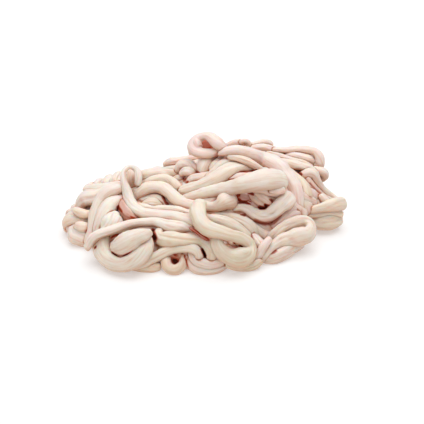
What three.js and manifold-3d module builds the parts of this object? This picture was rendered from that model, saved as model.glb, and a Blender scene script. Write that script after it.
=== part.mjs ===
// Pork small intestine: one long washed gut heaped on itself, as one solid out to its uneven outline.
// Millimetres, +Z up. The strands that show are drawn on the sight plane, which stands square to the line
// of sight, and are then let down along the sight lines onto a core and onto the strands already laid.
import * as THREE from 'three';
import { ConvexGeometry } from 'three/addons/geometries/ConvexGeometry.js';
import { mergeVertices } from 'three/addons/utils/BufferGeometryUtils.js';
import Module from 'manifold-3d';

const wasm = await Module();
wasm.setup();

// Sight line: how far off the eye is, how steeply it looks down, and the point of the heap it looks at
const EYE_DISTANCE = 1000;
const EYE_CLIMB = 31;
const LOOK_RIGHT = 6.6;
const LOOK_UP = 9.2;

// Laying: spacing of the points along a strand, how far two strands press into each other (1 is just
// touching), how deep a strand sinks where it lies on the floor, the tightest bend it takes in depth, and
// how far on a strand may lie across itself
const LAY_STEP = 4;
const PRESS = 0.86;
const FLOOR_REST = 0.85;
const DRAPE_RADIUS = 28;
const SMOOTHINGS = 6;
const OWN_GAP = 40;

// Ends: over what length a strand's end tucks in, and how deep, in radii, on the drawn and hidden sides
const TUCK_LENGTH = 14;
const DRAWN_TUCK = 0.7;
const HIDDEN_TUCK = 1.6;

// Lift of a strand's centre off the core, in radii: laid on it, or half sunk in it
const LAID_LIFT = 0.8;
const SUNK_LIFT = 0.15;

// Facets: sides of a ring, how far a straight link may stray from its strand, the longest link, and the
// taper of a strand's end. Shorter strands, deep in the pits, are laid but have no facets
const STOUT_SIDES = 6;
const SLIM_SIDES = 5;
const STOUT_RADIUS = 7;
const LINK_STRAY = 1.9;
const LINK_LENGTH = 30;
const TIP_LENGTH = 0.75;
const TIP_WIDTH = 0.62;
const SHORTEST_BUILT = 36;

// Skin: how close two points are made one, and how much is pared off, which parts skins that touch
// along one edge
const MERGE_WITHIN = 1e-3;
const PARE = 0.02;

// Half of the width of the space over the floor, which holds the whole heap
const BEYOND_HEAP = 400;

// Where the middle of the heap's outline lies from the floor point under the eye's line: the part is
// moved so that this middle is the origin
const HEAP_MIDDLE = { x: -3.585, y: -12.383 };

// Core lobes: place on the floor and half lengths
const LOBES = [
  { x: 42, y: 14, halfX: 102, halfY: 86, halfZ: 69 },
  { x: 88, y: 34, halfX: 62, halfY: 58, halfZ: 55 },
  { x: -84, y: 10, halfX: 66, halfY: 60, halfZ: 45 },
  { x: -72, y: -42, halfX: 66, halfY: 60, halfZ: 36 },
  { x: -15, y: -56, halfX: 86, halfY: 58, halfZ: 40 },
  { x: -148, y: -14, halfX: 32, halfY: 44, halfZ: 24 },
];
const LOBE_DETAIL = 2;

// Strands of the hidden sides, which no drawing shows. Rows run round the back of the core, half sunk in
// it, at heights that are even along its slope. They swing up and down together, each lagging behind the
// one below, and each has a seeded ripple and bulge of its own, weaker in the foot row. Loops are thrown
// over them, each group seen from its own eye, round the middle and within the half sizes of an oval on
// its sight plane
const HIDDEN_SEED = 7;
const ROW_AXIS = { x: 10, y: 5 };
const ROW_TOP = 69;
const ROW_RISE = 0.19;
const ROW_COUNT = 4;
const ROW_FROM = 70;
const ROW_TO = 290;
const ROW_END_STRAY = 12;
const ROW_POINTS = 90;
const ROW_SWELL = 0.05;
const ROW_SWING = 7;
const ROW_SWING_BEATS = 4;
const ROW_SWING_LAG = 0.45;
const ROW_RIPPLE = [1, 2.5];
const ROW_RIPPLE_BEATS = [6, 9];
const ROW_BULGE = 0.35;
const FOOT_WAVE = 0.4;
const ROW_WIDTH = [14.5, 17.5];
const THROWN_GROUPS = [
  { azimuth: 180, climb: 50, loops: 5, middle: [0, -14], half: [130, 52] },
  { azimuth: 118, climb: 36, loops: 2, middle: [20, -8], half: [80, 40] },
  { azimuth: -118, climb: 36, loops: 2, middle: [-6, -12], half: [70, 36] },
];
const THROWN_WIDTH = [13, 17];
const THROWN_SWELL = [0.92, 1.08];
const THROWN_START = 0.8;
const THROWN_EDGE = 1.07;
const EASY_RADIUS = [50, 150];
const EASY_RUN = [40, 110];
const TURN_RADIUS = [12, 20];
const TURN_SWEEP = [100, 190];
const HIDDEN_SPACING = 12;
const SHORTEST_HIDDEN = 56;
const HIDDEN_EDGE = 1;
const HIDDEN_SIDES = [-1, 0, 1];
const GAP_ALLOWED = 4;

// Strands that show, in the order they were laid: each point is right, up and width on the sight plane
const FAR_TOP = {
  topFarLeft: [[21, 88, 8], [29, 91, 10], [38, 92, 10], [46, 91, 8]],
  topFarRight: [[46, 87, 8], [56, 89, 9], [66, 92, 9], [75, 92, 8], [79, 89, 6]],
  topFarCurl: [[38, 92, 7], [43, 94, 7], [48, 92, 7], [49, 88, 7]],
  topLedge: [[54, 84, 10], [66, 85, 12], [80, 82, 12], [95, 80, 10], [108, 79, 9]],
  rightLoopOuter: [[82, 82, 8], [98, 82, 9], [112, 83, 10], [125, 82, 12], [136, 79, 13], [142, 71, 14],
    [141, 63, 13], [134, 59, 10]],
  rightLoopInner: [[99, 74, 9], [109, 74, 12], [120, 72, 13], [129, 70, 12], [132, 66, 10]],
  rightLoopStrap: [[74, 78, 8], [86, 75, 8], [98, 71, 8], [110, 68, 8], [121, 65, 8], [131, 60, 7]],
  rightKnuckle: [[136, 56, 11], [144, 54, 12], [149, 50, 12], [146, 44, 8]],
};
const FAR_LEFT = {
  finger: [[-61, 63, 10], [-55, 66, 12], [-46, 67, 12], [-36, 69, 11], [-26, 71, 11], [-17, 72, 10]],
  fingerUnder: [[-64, 56, 9], [-54, 57, 11], [-44, 57, 11], [-36, 53, 9]],
  farLeftFoldA: [[-161, 22, 11], [-163, 30, 13], [-159, 35, 11]],
  farLeftFoldB: [[-150, 25, 12], [-152, 34, 14], [-148, 40, 12]],
  farLeftFoldC: [[-138, 28, 12], [-140, 37, 14], [-136, 44, 12]],
  farLeftFoldD: [[-126, 30, 12], [-128, 40, 14], [-124, 48, 12]],
  farLeftKnob: [[-164, 31, 11], [-156, 31, 13], [-144, 31, 14], [-132, 33, 14], [-122, 36, 12]],
  leftShoulder: [[-172, 4, 12], [-173, 12, 16], [-166, 18, 19], [-154, 20, 18], [-142, 25, 16],
    [-130, 30, 14], [-120, 35, 11]],
  leftEndTurn: [[-192, -22, 9], [-192, -13, 13], [-184, -9, 14], [-172, -10, 14], [-160, -12, 13]],
  leftLowKnob: [[-183, -24, 15], [-180, -30, 20], [-172, -34, 19], [-160, -38, 17]],
  leftDimA: [[-181, 3, 8], [-173, -1, 11], [-164, -3, 12], [-156, 0, 10]],
  leftDimB: [[-178, -18, 11], [-170, -20, 14], [-160, -20, 12]],
};
const BEHIND_ARCH = {
  loopRightLeg: [[-93, 30, 8], [-91, 40, 10], [-92, 49, 10]],
  loopInside: [[-112, 54, 9], [-106, 49, 13], [-107, 41, 13], [-105, 33, 10]],
  backBandHigh: [[-93, 48, 12], [-84, 50, 15], [-72, 51, 15], [-59, 51, 13], [-47, 50, 11],
    [-36, 48, 9]],
  dimBall: [[-50, 43, 10], [-43, 44, 11], [-36, 42, 9]],
  smallHook: [[-46, 55, 9], [-44, 61, 10], [-36, 64, 11], [-28, 62, 11], [-23, 55, 10], [-20, 48, 8]],
  smallBall: [[-40, 51, 9], [-35, 54, 12], [-28, 53, 12], [-24, 47, 10]],
  backBandLow: [[-90, 38, 9], [-76, 43, 11], [-63, 44, 12], [-52, 39, 12], [-44, 31, 12], [-40, 23, 8]],
  uprightFold: [[-14, 48, 14], [-11, 57, 18], [-8, 66, 16], [-1, 71, 12], [8, 72, 9]],
  foldShade: [[-2, 57, 9], [4, 63, 10], [9, 68, 8]],
  ringPit: [[-14, 84, 12], [-8, 89, 17], [2, 91, 15]],
  topRing: [[16, 84.5, 9], [6, 79.5, 11], [-4, 77.5, 12], [-14, 78, 13], [-21.5, 82, 15],
    [-22.5, 90, 16], [-17, 97.5, 12], [-9, 100.5, 10], [-2, 99, 12], [5, 93, 15], [12, 87, 13],
    [18, 82, 9]],
  crossingHook: [[-32, 36, 9], [-28, 43, 10], [-20, 46, 11], [-11, 47, 11], [-2, 50, 10]],
  crossingUpper: [[-6, 45, 9], [2, 53, 10], [10, 61, 11], [19, 66, 11], [31, 67, 10], [43, 64, 9],
    [54, 59, 8], [64, 55, 7]],
  crossingLower: [[-40, 28, 12], [-28, 31, 14], [-12, 36, 16], [3, 43, 18], [15, 51, 19], [27, 57, 18],
    [40, 59, 14], [54, 57, 10]],
};
const UPPER_RIGHT = {
  rightArm: [[84, 68, 10], [97, 65, 12], [110, 62, 12], [121, 60, 10], [131, 57, 9], [138, 50, 8]],
  rightSpar: [[113, 46, 9], [120, 49, 12], [128, 52, 13], [135, 50, 13], [139, 42, 12], [146, 31, 10],
    [154, 24, 9], [163, 17, 9]],
  rightSparLow: [[127, 44, 8], [131, 37, 9], [137, 30, 9], [146, 22, 8], [156, 16, 8], [164, 12, 7]],
  rightDimA: [[126, 32, 9], [135, 23, 11], [144, 14, 10], [152, 7, 9]],
  rightDimB: [[133, 20, 10], [136, 12, 12], [138, 4, 11], [143, -2, 9]],
  rightDimC: [[144, 21, 9], [152, 13, 10], [161, 7, 9]],
  sideStrip: [[100, 57, 8], [111, 47, 10], [120, 37, 12], [125, 26, 13], [126, 13, 13], [129, 3, 12],
    [138, -2, 10], [150, -4, 9]],
  diagonal: [[10, 77, 7], [18, 80, 11], [31, 81, 14], [46, 77, 18], [60, 72, 21], [74, 67, 22],
    [87, 60, 22], [98, 50, 21], [106, 39, 19], [111, 27, 18], [113, 15, 16], [114, 4, 14],
    [118, -4, 10]],
  diagonalFold: [[22, 73, 7], [34, 71, 9], [46, 67, 10], [57, 61, 9], [66, 56, 7]],
};
const RIGHT_END = {
  rightEndLow: [[130, -13, 13], [140, -14, 16], [151, -13, 19], [160, -12, 19], [165, -10, 16]],
  rightEndMid: [[126, -3, 8], [139, -2, 8], [151, -1, 8], [163, -1, 8], [171, -3, 7]],
  rightEndTop: [[130, 2, 8], [143, 5, 10], [154, 8, 13], [163, 10, 15], [170, 11, 15]],
};
const MIDDLE = {
  dimMiddleA: [[28, 23, 9], [37, 20, 11], [46, 19, 11], [54, 17, 8]],
  dimMiddleB: [[48, 13, 7], [55, 10, 9], [63, 7, 9]],
  dimMiddleC: [[52, 25, 9], [58, 19, 11], [64, 13, 11], [69, 8, 8]],
  dimMiddleE: [[58, 28, 8], [66, 21, 10], [73, 15, 9], [78, 11, 7]],
  dimMiddleD: [[55, 29, 7], [66, 29, 8], [76, 26, 9], [86, 25, 8], [96, 27, 7]],
  thickEndUnder: [[77, 28, 6], [86, 27, 8], [94, 29, 8]],
  shortThick: [[114, 0, 12], [105, -2, 15], [97, -8, 15], [89, -15, 13], [80, -22, 10]],
  tuckedFold: [[24, 45, 8], [34, 47, 9], [44, 48, 9], [53, 51, 8]],
  thickMiddle: [[-38, 19, 7], [-24, 22, 12], [-8, 26, 14], [8, 29, 16], [24, 32, 18], [40, 36, 20],
    [55, 40, 23], [70, 43, 25], [80, 43, 26], [85, 42, 25]],
  hollowWave: [[28, 3, 8], [37, 6, 10], [46, 4, 12], [56, -2, 14], [65, -5, 15], [74, -4, 16],
    [82, 1, 17], [90, 8, 18], [97, 14, 20], [100, 18, 20]],
};
const LEFT_OF_MIDDLE = {
  littleDome: [[-98, 9, 8], [-92, 15, 9], [-82, 19, 9], [-73, 19, 9], [-67, 14, 9], [-63, 7, 8]],
  domeInside: [[-90, 10, 11], [-79, 12.5, 13], [-69, 9, 10]],
  archAndKnob: [[-104, 16, 10], [-99, 23, 13], [-90, 30, 15], [-79, 33, 15], [-66, 32, 15],
    [-55, 25, 14], [-47, 17, 15], [-38, 12, 14], [-27, 10, 13], [-12, 9, 12], [0, 7, 12], [9, 9, 15],
    [16, 14, 20], [22, 15.5, 24]],
  archFoot: [[-100, 9, 7], [-88, 7, 8], [-75, 5, 8], [-62, 5, 8], [-48, 4, 8], [-38, 2, 7],
    [-29, -2, 6]],
  leftDescent: [[-120, 33, 14], [-136, 27, 16], [-147, 16, 15], [-153, 3, 14], [-157, -12, 13],
    [-159, -26, 13], [-164, -40, 11]],
  leftInnerArch: [[-121, 18, 12], [-131, 13, 17], [-139, 3, 19], [-145, -8, 18], [-150, -19, 14],
    [-153, -29, 10]],
  redWall: [[-120, 13, 8], [-117, 4, 12], [-110, -5, 13], [-101, -10, 9]],
  whiteLobe: [[-127, -2, 10], [-130, -7, 19], [-132, -13, 24], [-136, -21, 25], [-141, -29, 20]],
  loopAndBand: [[-98, 36, 8], [-97, 45, 9], [-98, 53, 8], [-103.5, 58.5, 6], [-111, 59, 5.5],
    [-117, 52, 6], [-116.5, 41, 7.5], [-112.5, 28, 10.5], [-108, 14, 12.5], [-101, 4, 14], [-89, -2, 14],
    [-72, -4, 14], [-55, -5, 13], [-40, -8, 13], [-27, -13, 12], [-14, -19, 9]],
};
const LOWER_LEFT = {
  baseLeft: [[-108, -73, 7], [-96, -73, 11], [-82, -73, 13], [-70, -74, 11]],
  snail: [[-58, -57, 8], [-61, -65, 12], [-58, -73, 13], [-50, -77, 13], [-42, -73, 12], [-38, -65, 10],
    [-39, -57, 8]],
  smileLow: [[-31, -58, 8], [-28, -68, 11], [-20, -75, 12], [-9, -77, 12], [4, -76, 12], [14, -72, 10],
    [22, -67, 7]],
  smileHigh: [[-27, -54, 9], [-23, -62, 11], [-14, -67, 11], [-3, -69, 11], [9, -67, 10], [19, -63, 8]],
  frontLowBand: [[-104, -72, 8], [-92, -69, 10], [-82, -63, 11], [-70, -57, 11], [-58, -51.5, 11],
    [-46, -48, 11], [-34, -47, 11], [-24, -49, 11], [-18, -54, 10], [-17, -60, 9]],
  stainBit: [[-139, -35, 8], [-131, -33, 9], [-123, -30, 8]],
  frontLeftBend: [[-147, -36, 20], [-146, -49, 21], [-140, -60, 19], [-130, -67, 18], [-117, -69, 18],
    [-104, -63.5, 20], [-93, -53, 23], [-87, -43, 19], [-87, -34, 13], [-88, -27, 9]],
  insideBend: [[-127, -46, 15], [-120, -44, 23], [-110, -39, 25], [-99, -33, 22], [-90, -30, 16],
    [-82, -27, 9]],
  longBandUnder: [[-165, -48, 7], [-157, -38, 7], [-147, -31, 7], [-134, -27, 7], [-120, -23.5, 7],
    [-106, -20, 7], [-92, -18, 7], [-78, -18, 6]],
  longBand: [[-165, -46, 9], [-158, -34, 10], [-147, -28, 10], [-132, -23, 10], [-116, -17.5, 10],
    [-102, -14, 10], [-86, -13, 10], [-74, -13, 11], [-64, -16, 13], [-53, -19, 17], [-41, -20, 15],
    [-31, -22, 10], [-23, -26, 6]],
};
const CENTRE_RIGHT = {
  sagStrand: [[46, -11, 9], [55, -20, 11], [63, -27, 12], [72, -31, 11], [81, -32, 10], [90, -34, 8]],
  lacyBulge: [[-8, -2, 6], [6, -2, 8], [18, -4, 9], [30, -8, 11], [41, -12, 12], [49, -18, 13],
    [54, -25, 12], [57, -33, 9]],
  hollowPit: [[76, -54, 8], [84, -51, 8], [92, -47, 6]],
  rightFoot: [[66, -62, 10], [77, -62, 14], [88, -58, 15], [98, -52.5, 14], [109, -47, 12],
    [118, -44, 8]],
  loopLining: [[88, -31, 7], [98, -25, 8], [108, -21, 8], [119, -19, 7]],
  rightFrontLoop: [[76, -36, 10], [84, -28, 12], [94, -20, 12], [106, -14, 12], [118, -11, 12],
    [128, -14, 11], [131, -21, 13], [126, -30, 19], [114, -33, 21], [101, -36, 18], [90, -39, 15],
    [82, -44, 11], [75, -50, 10], [68, -58, 10], [60, -66, 9]],
  paleTwist: [[55, -31, 8], [60, -37, 11], [65, -43, 10], [69, -48, 7]],
  frontTwist: [[76, -36, 8], [70, -43, 10], [65, -51, 10], [60, -60, 9], [55, -67, 8]],
};
const FRONT_CENTRE = {
  baseMiddle: [[20, -69, 8], [30, -72, 9], [44, -73, 10], [56, -70, 10], [64, -65, 8]],
  frontWave: [[-69, -24, 8], [-71, -30, 13], [-66, -35, 18], [-55, -36, 18], [-42, -36, 14],
    [-29, -37, 13], [-17, -38.5, 13], [-6, -44, 14], [0, -53, 13], [-1, -61, 11]],
  holeBit: [[19, -39, 7], [25, -42, 8], [31, -43, 8]],
  holeBitRight: [[30, -38, 6], [36, -41, 7], [42, -41, 6]],
  redStreak: [[-29, -21, 3], [-20, -27, 4], [-11, -33, 5], [-5, -37, 4]],
  parallelBand: [[-8, -8, 9], [3, -9.5, 13], [15, -12.5, 15], [26, -17, 15], [36, -22.5, 14],
    [45, -30, 11], [50, -37, 9]],
  greatLoop: [[15, -28, 11], [8, -34, 12], [7, -42, 14], [12, -51, 17], [21, -58, 20], [34, -61, 22],
    [46, -57, 19], [51, -49, 15], [48, -41, 13], [38, -34.5, 13], [24, -30.5, 14], [10, -26, 16],
    [-4, -22, 17], [-14, -14, 18], [-18, -4, 18], [-18, 5, 18], [-17, 8, 17]],
};
const DRAWN_REGIONS = [FAR_TOP, FAR_LEFT, BEHIND_ARCH, UPPER_RIGHT, RIGHT_END, MIDDLE, LEFT_OF_MIDDLE,
  LOWER_LEFT, CENTRE_RIGHT, FRONT_CENTRE];

// A repeatable draw between two numbers
function makeDraw(seed) {
  let state = seed;
  return (low, high) => {
    state = (Math.imul(state, 1664525) + 1013904223) >>> 0;
    return low + ((high - low) * state) / 2 ** 32;
  };
}

// An eye that looks at the heap from an azimuth and a climb in degrees
function makeSight(azimuth, climb) {
  const turn = THREE.MathUtils.degToRad(azimuth);
  const rise = THREE.MathUtils.degToRad(climb);
  const away = new THREE.Vector3(
    Math.sin(turn) * Math.cos(rise), -Math.cos(turn) * Math.cos(rise), Math.sin(rise));
  const right = new THREE.Vector3(Math.cos(turn), Math.sin(turn), 0);
  const up = new THREE.Vector3().crossVectors(away, right);
  const target = right.clone().multiplyScalar(LOOK_RIGHT).addScaledVector(up, LOOK_UP);
  const eye = target.clone().addScaledVector(away, EYE_DISTANCE);
  return { away, right, up, target, eye };
}

// A drawn route as points spaced evenly along its smooth curve
function spaceEvenly(route) {
  const curve = new THREE.CatmullRomCurve3(route.map((point) => new THREE.Vector3(...point)));
  const fine = curve.getPoints(12 * (route.length - 1));
  const run = [0];
  for (let i = 1; i < fine.length; i++) {
    run.push(run[i - 1] + Math.hypot(fine[i].x - fine[i - 1].x, fine[i].y - fine[i - 1].y));
  }
  const total = run[run.length - 1];
  const count = Math.max(2, Math.round(total / LAY_STEP));
  const points = [];
  let k = 0;
  for (let i = 0; i <= count; i++) {
    const at = (total * i) / count;
    while (k < run.length - 2 && run[k + 1] < at) k++;
    const share = (at - run[k]) / (run[k + 1] - run[k] || 1);
    points.push(fine[k].clone().lerp(fine[k + 1], share));
  }
  return points;
}

// How far along a sight line the core begins, when every lobe is grown by a margin
function reachCore(eye, line, margin) {
  let first = Infinity;
  let closest = Infinity;
  let passing = EYE_DISTANCE;
  for (const lobe of LOBES) {
    const size = new THREE.Vector3(lobe.halfX + margin, lobe.halfY + margin, lobe.halfZ + margin);
    const from = eye.clone().sub(new THREE.Vector3(lobe.x, lobe.y, 0)).divide(size);
    const along = line.clone().divide(size);
    const a = along.dot(along);
    const b = from.dot(along);
    const inside = b * b - a * (from.dot(from) - 1);
    if (inside > 0) first = Math.min(first, (-b - Math.sqrt(inside)) / a);
    const miss = from.addScaledVector(along, -b / a).length();
    if (miss < closest) {
      closest = miss;
      passing = -b / a;
    }
  }
  return first < Infinity ? first : passing;
}

// How far along a sight line a strand of this radius meets the floor, the core or a laid strand
function reachHeap(eye, line, radius, lift, laid) {
  let reach = reachCore(eye, line, lift * radius);
  if (line.z < 0) reach = Math.min(reach, (FLOOR_REST * radius - eye.z) / line.z);
  for (const { centre, radius: other } of laid) {
    const to = centre.clone().sub(eye);
    const along = to.dot(line);
    const clear = ((other + radius) * PRESS) ** 2 - (to.lengthSq() - along * along);
    if (clear > 0) reach = Math.min(reach, along - Math.sqrt(clear));
  }
  return reach;
}

// Depths of a strand that bridges dips instead of following each one
function drape(depths) {
  const bridged = depths.map((_, i) => {
    const reaches = depths.map((depth, j) => depth + ((i - j) * LAY_STEP) ** 2 / (2 * DRAPE_RADIUS));
    return Math.min(...reaches);
  });
  for (let pass = 0; pass < SMOOTHINGS; pass++) {
    const before = bridged.slice();
    for (let i = 1; i < bridged.length - 1; i++) {
      bridged[i] = (before[i - 1] + 2 * before[i] + before[i + 1]) / 4;
    }
  }
  return bridged;
}

// How far the end of a strand tucks in, for a point this far from the nearer end
function tuckIn(run, radius, tuck) {
  const share = Math.max(0, 1 - run / TUCK_LENGTH);
  return tuck * radius * share * share;
}

// A route let down onto the heap, as the centres and radii of one strand
function layStrand(route, sight, { laid = [], lift = LAID_LIFT, tuck = DRAWN_TUCK }) {
  const drawn = spaceEvenly(route);
  const lines = drawn.map((point) => sight.target.clone().addScaledVector(sight.right, point.x)
    .addScaledVector(sight.up, point.y).sub(sight.eye).normalize());
  const radii = drawn.map((point, i) => {
    const half = point.z / 2;
    return (half * reachCore(sight.eye, lines[i], lift * half)) / EYE_DISTANCE;
  });
  const drapeOver = (own) => drape(lines.map((line, i) => {
    const under = own.slice(0, Math.max(0, i - OWN_GAP / LAY_STEP));
    return reachHeap(sight.eye, line, radii[i], lift, [...laid, ...under]);
  }));
  const alone = drapeOver([]).map((depth, i) => (
    { centre: sight.eye.clone().addScaledVector(lines[i], depth), radius: radii[i] }));
  const depths = drapeOver(alone);
  return lines.map((line, i) => {
    const run = Math.min(i, lines.length - 1 - i) * LAY_STEP;
    const depth = depths[i] + tuckIn(run, radii[i], tuck);
    const centre = sight.eye.clone().addScaledVector(line, depth);
    centre.z = Math.max(centre.z, FLOOR_REST * radii[i]);
    return { centre, radius: radii[i] };
  });
}

// A row round the core: level 0 is at its foot
function layRow(draw, level) {
  const width = draw(...ROW_WIDTH);
  const ripple = draw(...ROW_RIPPLE);
  const beats = draw(...ROW_RIPPLE_BEATS);
  const phase = draw(0, 2 * Math.PI);
  const from = THREE.MathUtils.degToRad(ROW_FROM + draw(-ROW_END_STRAY, ROW_END_STRAY));
  const to = THREE.MathUtils.degToRad(ROW_TO + draw(-ROW_END_STRAY, ROW_END_STRAY));
  const axis = new THREE.Vector3(ROW_AXIS.x, ROW_AXIS.y, 0);
  const height = ROW_TOP * Math.sin((level + 0.5) * ROW_RISE);
  const share = level === 0 ? FOOT_WAVE : 1;
  const row = Array.from({ length: ROW_POINTS + 1 }, (_, i) => {
    const angle = from + ((to - from) * i) / ROW_POINTS;
    const swell = 1 + ROW_SWELL * Math.sin(3 * beats * angle);
    const radius = (width * swell) / 2;
    const outward = new THREE.Vector3(Math.sin(angle), -Math.cos(angle), 0);
    const swing = ROW_SWING * Math.sin(ROW_SWING_BEATS * angle - ROW_SWING_LAG * level);
    const wave = swing + ripple * Math.sin(beats * angle + phase);
    const lift = SUNK_LIFT + share * ROW_BULGE * Math.sin(0.6 * beats * angle - phase);
    const eye = axis.clone().addScaledVector(outward, EYE_DISTANCE);
    eye.z = Math.max(height + share * wave, FLOOR_REST * radius);
    const reach = reachCore(eye, outward.clone().negate(), lift * radius);
    return { centre: eye.addScaledVector(outward, -reach), radius };
  });
  return spaceRow(row);
}

// The points of a row, as far apart as those of any other strand
function spaceRow(row) {
  const spaced = [row[0]];
  for (const point of row) {
    if (point.centre.distanceTo(spaced[spaced.length - 1].centre) >= LAY_STEP) spaced.push(point);
  }
  return spaced;
}

// A loop thrown over the rows: easy arcs between tight turns, which bend back towards the middle
function thrownLoop(draw, group) {
  let x = draw(-THROWN_START, THROWN_START) * group.half[0] + group.middle[0];
  let y = draw(-THROWN_START, THROWN_START) * group.half[1] + group.middle[1];
  let heading = draw(-0.5, 0.5) + (draw(0, 1) < 0.5 ? Math.PI : 0);
  const width = draw(...THROWN_WIDTH);
  const route = [[x, y, width]];
  const follow = (radius, length, side) => {
    const steps = Math.ceil(length / HIDDEN_SPACING);
    for (let step = 0; step < steps; step++) {
      heading += (side * length) / radius / steps;
      x += (Math.cos(heading) * length) / steps;
      y += (Math.sin(heading) * length) / steps;
      route.push([x, y, width * draw(...THROWN_SWELL)]);
    }
  };
  const turns = Math.round(draw(1.6, 3.4));
  for (let turn = 0; turn <= turns; turn++) {
    follow(draw(...EASY_RADIUS), draw(...EASY_RUN), draw(0, 1) < 0.5 ? 1 : -1);
    const home = Math.atan2(group.middle[1] - y, group.middle[0] - x);
    const homeward = Math.sin(home - heading) > 0 ? 1 : -1;
    const radius = draw(...TURN_RADIUS);
    follow(radius, radius * THREE.MathUtils.degToRad(draw(...TURN_SWEEP)), homeward);
  }
  const spread = ([right, up]) => Math.hypot((right - group.middle[0]) / group.half[0],
    (up - group.middle[1]) / group.half[1]);
  return route.filter((point) => spread(point) < THROWN_EDGE);
}

// The stretches of a strand that the drawn side hides from the front eye
function hiddenStretches(strand, front, drawn) {
  const stretches = [[]];
  for (const point of strand) {
    const covered = HIDDEN_SIDES.every((side) => {
      const edge = point.centre.clone().addScaledVector(front.up, HIDDEN_EDGE * point.radius)
        .addScaledVector(front.right, side * HIDDEN_EDGE * point.radius).sub(front.eye);
      const far = edge.length();
      const line = edge.normalize();
      return meetsCore(front.eye, line, far) || meetsStrand(front.eye, line, far, drawn);
    });
    if (covered) stretches[stretches.length - 1].push(point);
    else if (stretches[stretches.length - 1].length > 0) stretches.push([]);
  }
  return stretches.filter((stretch) => stretch.length * LAY_STEP > SHORTEST_HIDDEN);
}

// Whether a sight line meets the core before it has gone this far
function meetsCore(eye, line, far) {
  return LOBES.some((lobe) => {
    const size = new THREE.Vector3(lobe.halfX, lobe.halfY, lobe.halfZ);
    const from = eye.clone().sub(new THREE.Vector3(lobe.x, lobe.y, 0)).divide(size);
    const along = line.clone().divide(size);
    const a = along.dot(along);
    const b = from.dot(along);
    const inside = b * b - a * (from.dot(from) - 1);
    return inside > 0 && (-b - Math.sqrt(inside)) / a < far;
  });
}

// Whether a sight line meets a laid strand before it has gone this far
function meetsStrand(eye, line, far, laid) {
  return laid.some(({ centre, radius }) => {
    const to = centre.clone().sub(eye);
    const along = to.dot(line);
    return along < far && to.lengthSq() - along * along < (radius + GAP_ALLOWED) ** 2;
  });
}

// A mesh's geometry as a solid that can be joined and cut
function toSolid(geometry) {
  geometry.deleteAttribute('normal');
  geometry.deleteAttribute('uv');
  const merged = mergeVertices(geometry, MERGE_WITHIN);
  return new wasm.Manifold(new wasm.Mesh({
    numProp: 3,
    vertProperties: Float32Array.from(merged.attributes.position.array),
    triVerts: Uint32Array.from(merged.index.array),
  }));
}

// A ring of points round a strand, square to its direction
function ringRound(centre, radius, direction, sides) {
  const across = new THREE.Vector3(0, 0, 1).addScaledVector(direction, -direction.z).normalize();
  const beside = new THREE.Vector3().crossVectors(direction, across);
  return Array.from({ length: sides }, (_, k) => {
    const angle = (2 * Math.PI * k) / sides;
    return centre.clone().addScaledVector(across, radius * Math.cos(angle))
      .addScaledVector(beside, radius * Math.sin(angle));
  });
}

// The points of a strand that get a ring: as few as keep its links on its course
function pickRings(strand) {
  const picks = [strand[0]];
  let from = 0;
  while (from < strand.length - 1) {
    let to = from + 1;
    while (to < strand.length - 1 && holdsCourse(strand, from, to + 1)) to++;
    picks.push(strand[to]);
    from = to;
  }
  return picks;
}

// Whether one straight link between two points of a strand stays close to the strand
function holdsCourse(strand, from, to) {
  const span = strand[to].centre.clone().sub(strand[from].centre);
  if (span.length() > LINK_LENGTH) return false;
  const link = new THREE.Line3(strand[from].centre, strand[to].centre);
  return strand.slice(from + 1, to).every(({ centre, radius }, k) => {
    const share = (k + 1) / (to - from);
    const girth = THREE.MathUtils.lerp(strand[from].radius, strand[to].radius, share);
    const stray = link.closestPointToPoint(centre, true, new THREE.Vector3()).distanceTo(centre);
    return stray + Math.abs(girth - radius) < LINK_STRAY;
  });
}

// The solid links of one strand, each the hull of two neighbouring rings
function strandSolids(strand) {
  const picks = pickRings(strand);
  const directions = picks.map((_, i) => {
    const before = picks[Math.max(i - 1, 0)].centre;
    const after = picks[Math.min(i + 1, picks.length - 1)].centre;
    return after.clone().sub(before).normalize();
  });
  const stoutest = Math.max(...strand.map(({ radius }) => radius));
  const sides = stoutest > STOUT_RADIUS ? STOUT_SIDES : SLIM_SIDES;
  const rings = picks.map(({ centre, radius }, i) => ringRound(centre, radius, directions[i], sides));
  const tip = (end, sign) => {
    const { centre, radius } = picks[end];
    const place = centre.clone().addScaledVector(directions[end], sign * TIP_LENGTH * radius);
    return ringRound(place, TIP_WIDTH * radius, directions[end], sides);
  };
  rings.unshift(tip(0, -1));
  rings.push(tip(picks.length - 1, 1));
  return rings.slice(1).map((ring, i) => toSolid(new ConvexGeometry([...rings[i], ...ring])));
}

// The core's lobes
function lobeSolids() {
  return LOBES.map((lobe) => {
    const geometry = new THREE.IcosahedronGeometry(1, LOBE_DETAIL);
    geometry.scale(lobe.halfX, lobe.halfY, lobe.halfZ);
    geometry.translate(lobe.x, lobe.y, 0);
    return toSolid(geometry);
  });
}

// Everything above the floor
function aboveFloor(solid) {
  const box = new THREE.BoxGeometry(2 * BEYOND_HEAP, 2 * BEYOND_HEAP, BEYOND_HEAP);
  box.translate(0, 0, BEYOND_HEAP / 2);
  return solid.intersect(toSolid(box));
}

function toGeometry(solid) {
  const { vertProperties, triVerts } = solid.getMesh();
  const geometry = new THREE.BufferGeometry();
  geometry.setAttribute('position', new THREE.BufferAttribute(Float32Array.from(vertProperties), 3));
  geometry.setIndex(new THREE.BufferAttribute(Uint32Array.from(triVerts), 1));
  geometry.computeVertexNormals();
  return geometry;
}

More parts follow.
